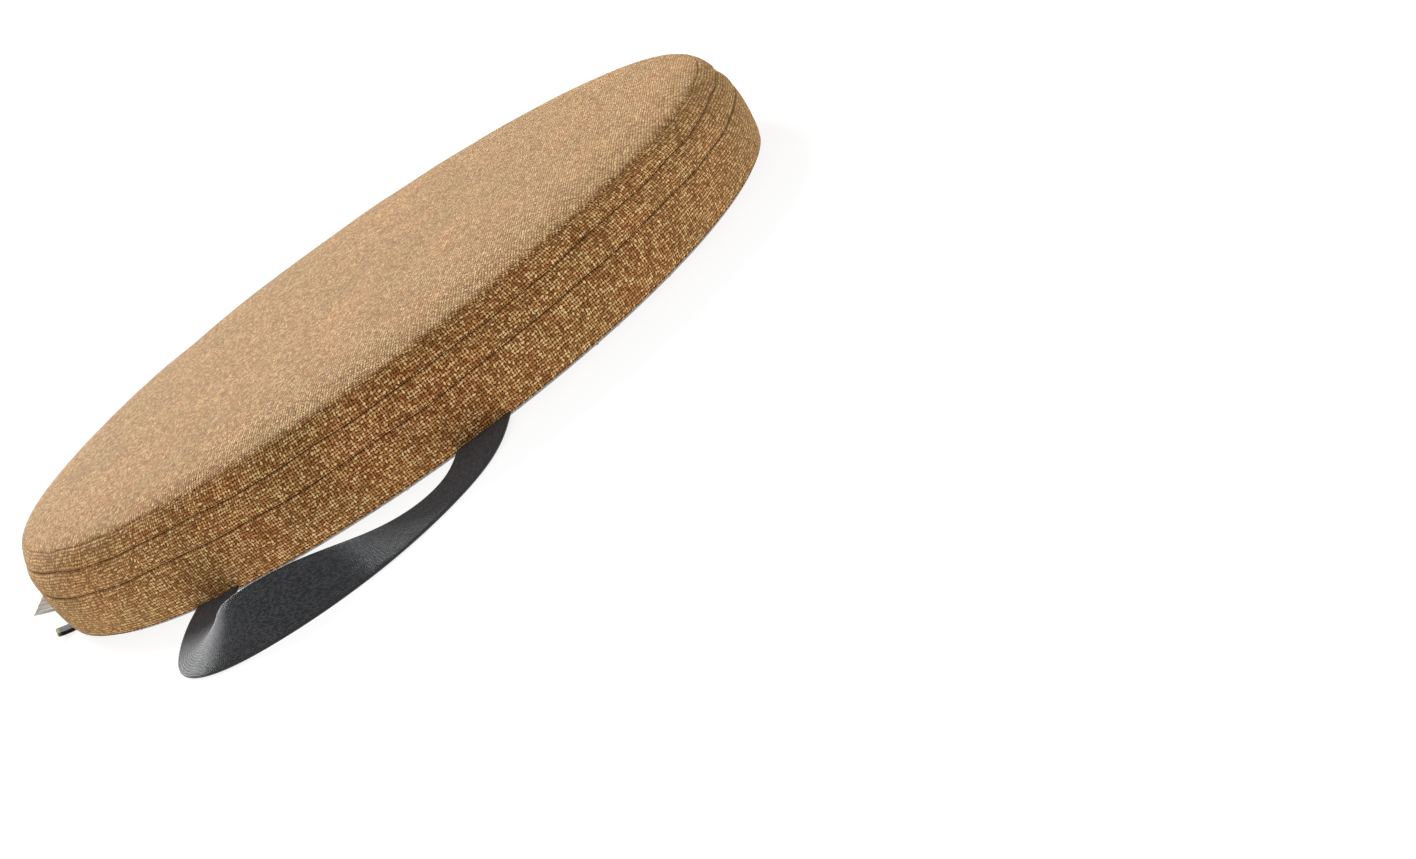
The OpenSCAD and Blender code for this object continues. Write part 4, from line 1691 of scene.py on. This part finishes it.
@dataclass
class Zip:
    """The zip: two tapes, two coils, the slider and its pull."""

    relief: Relief
    arc: ZipArc
    finishes: Finishes
    tape: float = 0.6 * MM
    sewn: float = 3 * MM
    coil_turn: float = 1.35 * MM
    wire: float = 0.28 * MM
    coil_depth: float = 0.72 * MM
    coil_half: float = 1.0 * MM

    def build(self) -> None:
        """Makes the tapes, the coils, the slider and the pull, and dresses the stops."""
        upper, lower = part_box("zip_coil_upper"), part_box("zip_coil_lower")
        self.zip_z = (upper[0].z + lower[1].z) / 2
        self.coil_near = upper[0].z - self.zip_z
        self.coil_far = upper[1].z - self.zip_z
        self.zip_r = self.coil_radius()
        for side, name in ((1, "upper"), (-1, "lower")):
            tape = self.tape_solid(side).build(f"zip_tape_{name}_cloth")
            dress(tape, self.finishes.tape, Body.PAD, [f"zip_tape_{name}"])
            coil = self.coil_solid(side).build(f"zip_coil_{name}_wire")
            dress(coil, self.finishes.nylon, Body.PAD, [f"zip_coil_{name}"])
        for name in ("zip_top_stops", "zip_bottom_stop"):
            set_material(name, self.finishes.metal)
        for name, body in (("zip_slider", Body.SLIDER), ("zip_pull", Body.PULL)):
            dress(softened(name, f"{name}_cast"), self.finishes.metal, body, [name])

    def coil_radius(self) -> float:
        """The coils' middle radius: the largest radius in their CAD node less half its depth."""
        co = mesh_points(bpy.data.objects["zip_coil_upper"].data)
        return float(np.hypot(co[:, 0], co[:, 1]).max()) - self.coil_half

    def tape_solid(self, side: int) -> Solid:
        """One tape: a soft line from under the coil out to the cloth and behind it, turned through the arc.

        Args:
            side: 1 for the upper tape, -1 for the lower one.

        Returns:
            The closed solid, with UVs of arc length and distance along the section.
        """
        form = self.relief.form
        edge = form.line1 if side > 0 else form.line2
        back = form.cloth + 0.25 * MM + self.tape / 2
        place, _ = form.skin(np.array([form.at_height(edge + side * self.sewn)]))
        meet = float(place[0, 0]) - back
        inner = self.zip_r - self.coil_depth - self.tape / 2
        corners_rz = np.array([
            (inner, self.zip_z + side * self.coil_near * 0.6),
            (inner, self.zip_z + side * self.coil_far * 1.2),
            (meet, edge + side * 0.4 * MM),
            (meet, edge + side * self.sewn),
        ])
        even = np.linspace(0, 3, 61)
        line = bell_average(sampled(even, np.arange(4), corners_rz), 0.05, 0.16)
        half = beside(line) * self.tape / 2
        outline = np.vstack([line + half, (line - half)[::-1]])
        along = distances(line)
        azimuth = np.linspace(self.arc.start + self.arc.join, self.arc.end - self.arc.join, 300)
        az = np.broadcast_to(azimuth[:, None], (300, len(outline)))
        follow = smoothstep((even - 1.2) / 0.8)
        follow = np.r_[follow, follow[::-1]][None, :, None]
        place = outline + follow * self.relief.swelling(az, np.full(az.shape, form.at_height(edge)))
        uv = np.stack(np.broadcast_arrays(azimuth[:, None] * self.zip_r, np.r_[along, along[::-1]]), -1)
        return sheet_solid(about_axis(place[..., 0], az, place[..., 1]), uv)

    def coil_solid(self, side: int) -> Solid:
        """One coil: a wire that turns as a flattened helix along the arc, its heads near the middle line.

        Args:
            side: 1 for the upper coil, -1 for the lower one.

        Returns:
            The closed wire.
        """
        co = mesh_points(bpy.data.objects["zip_coil_upper"].data)
        az = np.unwrap(np.sort(np.arctan2(co[:, 1], co[:, 0]) % TURN))
        gap = np.argmax(np.diff(np.r_[az, az[0] + TURN]))
        start, end = az[(gap + 1) % len(az)] - TURN, az[gap]
        turns = int((end - start) * self.zip_r / self.coil_turn)
        t = np.linspace(0, turns, turns * 9 + 1)
        phase = TURN * t + (math.pi if side > 0 else 0)
        mid = self.zip_z + side * (self.coil_near + self.coil_far) / 2
        half = (self.coil_far - self.coil_near) / 2 - self.wire
        z = mid - side * half * 1.15 * np.cos(phase)
        r = self.zip_r + self.coil_depth * np.sin(phase)
        angle = start + (t + 0.12 * np.sin(2 * phase)) / turns * (end - start)
        path = about_axis(r, angle, z)
        return pipe(path, self.wire, path - about_axis(self.zip_r, angle, mid))


def softened(node: str, name: str, radius: float = 0.16 * MM) -> bpy.types.Object:
    """A cast copy of a CAD node, whose sharp edges are rounded.

    Args:
        node: The CAD node.
        name: The copy's name.
        radius: How far from each edge its rounding begins.

    Returns:
        The new object.
    """
    shape = bmesh.new()
    shape.from_mesh(bpy.data.objects[node].data)
    bmesh.ops.remove_doubles(shape, verts=shape.verts, dist=1e-6)
    flat_limit, sharp_limit = math.radians(1), math.radians(25)
    bmesh.ops.dissolve_limit(shape, angle_limit=flat_limit, verts=shape.verts, edges=shape.edges)
    sharp = [e for e in shape.edges if e.is_manifold and e.calc_face_angle() > sharp_limit]
    bmesh.ops.bevel(
        shape, geom=sharp, offset=radius, segments=3, profile=0.5, affect="EDGES", clamp_overlap=True
    )
    bmesh.ops.triangulate(shape, faces=[f for f in shape.faces if len(f.verts) > 4])
    mesh = bpy.data.meshes.new(name)
    shape.to_mesh(mesh)
    shape.free()
    made = bpy.data.objects.new(name, mesh)
    bpy.context.scene.collection.objects.link(made)
    return made


def set_material(node: str, material: bpy.types.Material) -> None:
    """Gives a CAD node a better material in place of its own."""
    mesh = bpy.data.objects[node].data
    mesh.materials.clear()
    mesh.materials.append(material)
    log.info("%s: keeps its CAD shape, in %s", node, material.name)


# ---------------------------------------------------------------------------------------------------
# Studio
# ---------------------------------------------------------------------------------------------------


@dataclass
class Studio:
    """A plain pale floor, soft lights and the camera."""

    lens: float = 61.017
    sensor: float = 36.0
    azimuth: float = math.radians(13)
    elevation: float = math.radians(16.7)
    roll: float = math.radians(-35.15)
    distance: float = 1.142
    aside: float = 0.1393
    above: float = -0.0298
    key_towards: tuple[float, float, float] = (-0.45, 0.80, 0.40)
    key_spread: float = 22.0
    key_strength: float = 5.2
    floor_glow: float = 0.82

    def build(self) -> None:
        """Makes the floor, the world, the lights and the camera."""
        self.floor()
        self.world()
        self.sun("key", self.key_towards, self.key_spread, self.key_strength)
        self.camera()
        bpy.context.scene.view_settings.view_transform = "Standard"
        bpy.context.scene.view_settings.look = "None"

    def floor(self) -> None:
        """A large pale disc at the height that the pad stands on, lit from within like a light table."""
        top = about_axis(np.geomspace(0.01, 40.0, 14)[:, None], full_turn(64), 0.0)
        low = top[::-1] - [0, 0, 0.01]
        made = swept(np.concatenate([top, low])).build("floor", smooth=False)
        g = Graph("floor_panel")
        tone = g.noise(g.place(), 3.0)
        g.set(Base_Color=g.ramp(tone, (0.3, (0.28, 0.28, 0.28)), (0.7, (0.30, 0.30, 0.30))), Roughness=1.0)
        g.set(Specular_IOR_Level=0.0, Emission_Color=(1.0, 1.0, 1.0, 1.0))
        g.set(Emission_Strength=self.floor_glow)
        made.data.materials.append(g.material)

    def world(self) -> None:
        """A plain surround: white at the height of the horizon, softer overhead."""
        world = bpy.data.worlds.new("studio")
        world.use_nodes = True
        tree = world.node_tree
        background = tree.nodes["Background"]
        place = tree.nodes.new("ShaderNodeTexCoord")
        parts = tree.nodes.new("ShaderNodeSeparateXYZ")
        fade = tree.nodes.new("ShaderNodeMapRange")
        tree.links.new(place.outputs["Generated"], parts.inputs[0])
        tree.links.new(parts.outputs[2], fade.inputs["Value"])
        tree.links.new(fade.outputs[0], background.inputs[1])
        fade.interpolation_type = "SMOOTHSTEP"
        for name, value in zip(("From Min", "From Max", "To Min", "To Max"), (0.16, 0.4, 1.05, 0.55)):
            fade.inputs[name].default_value = value
        background.inputs[0].default_value = (1.0, 1.0, 1.0, 1.0)
        bpy.context.scene.world = world

    def sun(self, name: str, towards: tuple[float, float, float], spread: float, strength: float) -> None:
        """A soft light from far away.

        Args:
            name: Its name.
            towards: The direction in which it stands.
            spread: Its apparent width in degrees.
            strength: Its strength.
        """
        data = bpy.data.lights.new(name, "SUN")
        data.angle, data.energy = math.radians(spread), strength
        lamp = bpy.data.objects.new(name, data)
        lamp.location = towards
        lamp.rotation_euler = (-Vector(towards)).to_track_quat("-Z", "Y").to_euler()
        bpy.context.scene.collection.objects.link(lamp)

    def camera(self) -> None:
        """The camera: it circles the pad's axis, then is rolled and moved aside in its own plane."""
        a, e, r = self.azimuth, self.elevation, self.roll
        back = Vector((math.sin(a) * math.cos(e), -math.cos(a) * math.cos(e), math.sin(e)))
        level = Vector((math.cos(a), math.sin(a), 0.0))
        upright = back.cross(level)
        right = math.cos(r) * level + math.sin(r) * upright
        up = -math.sin(r) * level + math.cos(r) * upright
        data = bpy.data.cameras.new("camera")
        data.sensor_width, data.lens = self.sensor, self.lens
        data.clip_start, data.clip_end = 0.05, 40.0
        camera = bpy.data.objects.new("camera", data)
        place = self.distance * back + self.aside * right + self.above * up
        camera.matrix_world = Matrix((
            (right.x, up.x, back.x, place.x),
            (right.y, up.y, back.y, place.y),
            (right.z, up.z, back.z, place.z),
            (0, 0, 0, 1),
        ))
        bpy.context.scene.collection.objects.link(camera)
        bpy.context.scene.camera = camera


def main() -> None:
    """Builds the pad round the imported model, in order."""
    logging.basicConfig(level=logging.INFO, format="%(name)s: %(message)s")
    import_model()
    Studio().build()
    finishes = Finishes()
    form = PadForm.from_frame()
    arc = ZipArc()
    Strap(finishes).build()
    relief = Inflation(form).run()
    Cover(relief, arc, finishes).build()
    Core(relief, finishes).build(arc)
    Underside(relief, finishes).build()
    Zip(relief, arc, finishes).build()
    root = form.side_radius(np.array([1.2 * MM]))[0] + 0.5 * MM
    label = Tag(
        name="care_label_satin", node="care_label", root=root, width=22 * MM, length=15 * MM,
        thick=0.8 * MM, layer=0.22 * MM, azimuth=math.radians(-168), tilt=math.radians(60),
        curl=-5.0 * MM, open_gap=0.5 * MM, twist=math.radians(-26),
    )
    label.build(finishes.satin, Slot.SATIN, None)
    tab = Tag(
        name="edge_tab_tape", node="edge_tab", root=root, width=12 * MM, length=8 * MM,
        thick=1.8 * MM, layer=0.7 * MM, azimuth=math.radians(-155), tilt=math.radians(12),
        curl=0.6 * MM,
    )
    tab.build(finishes.tab, Slot.TAB, Body.PAD)


if __name__ == "__main__":
    main()
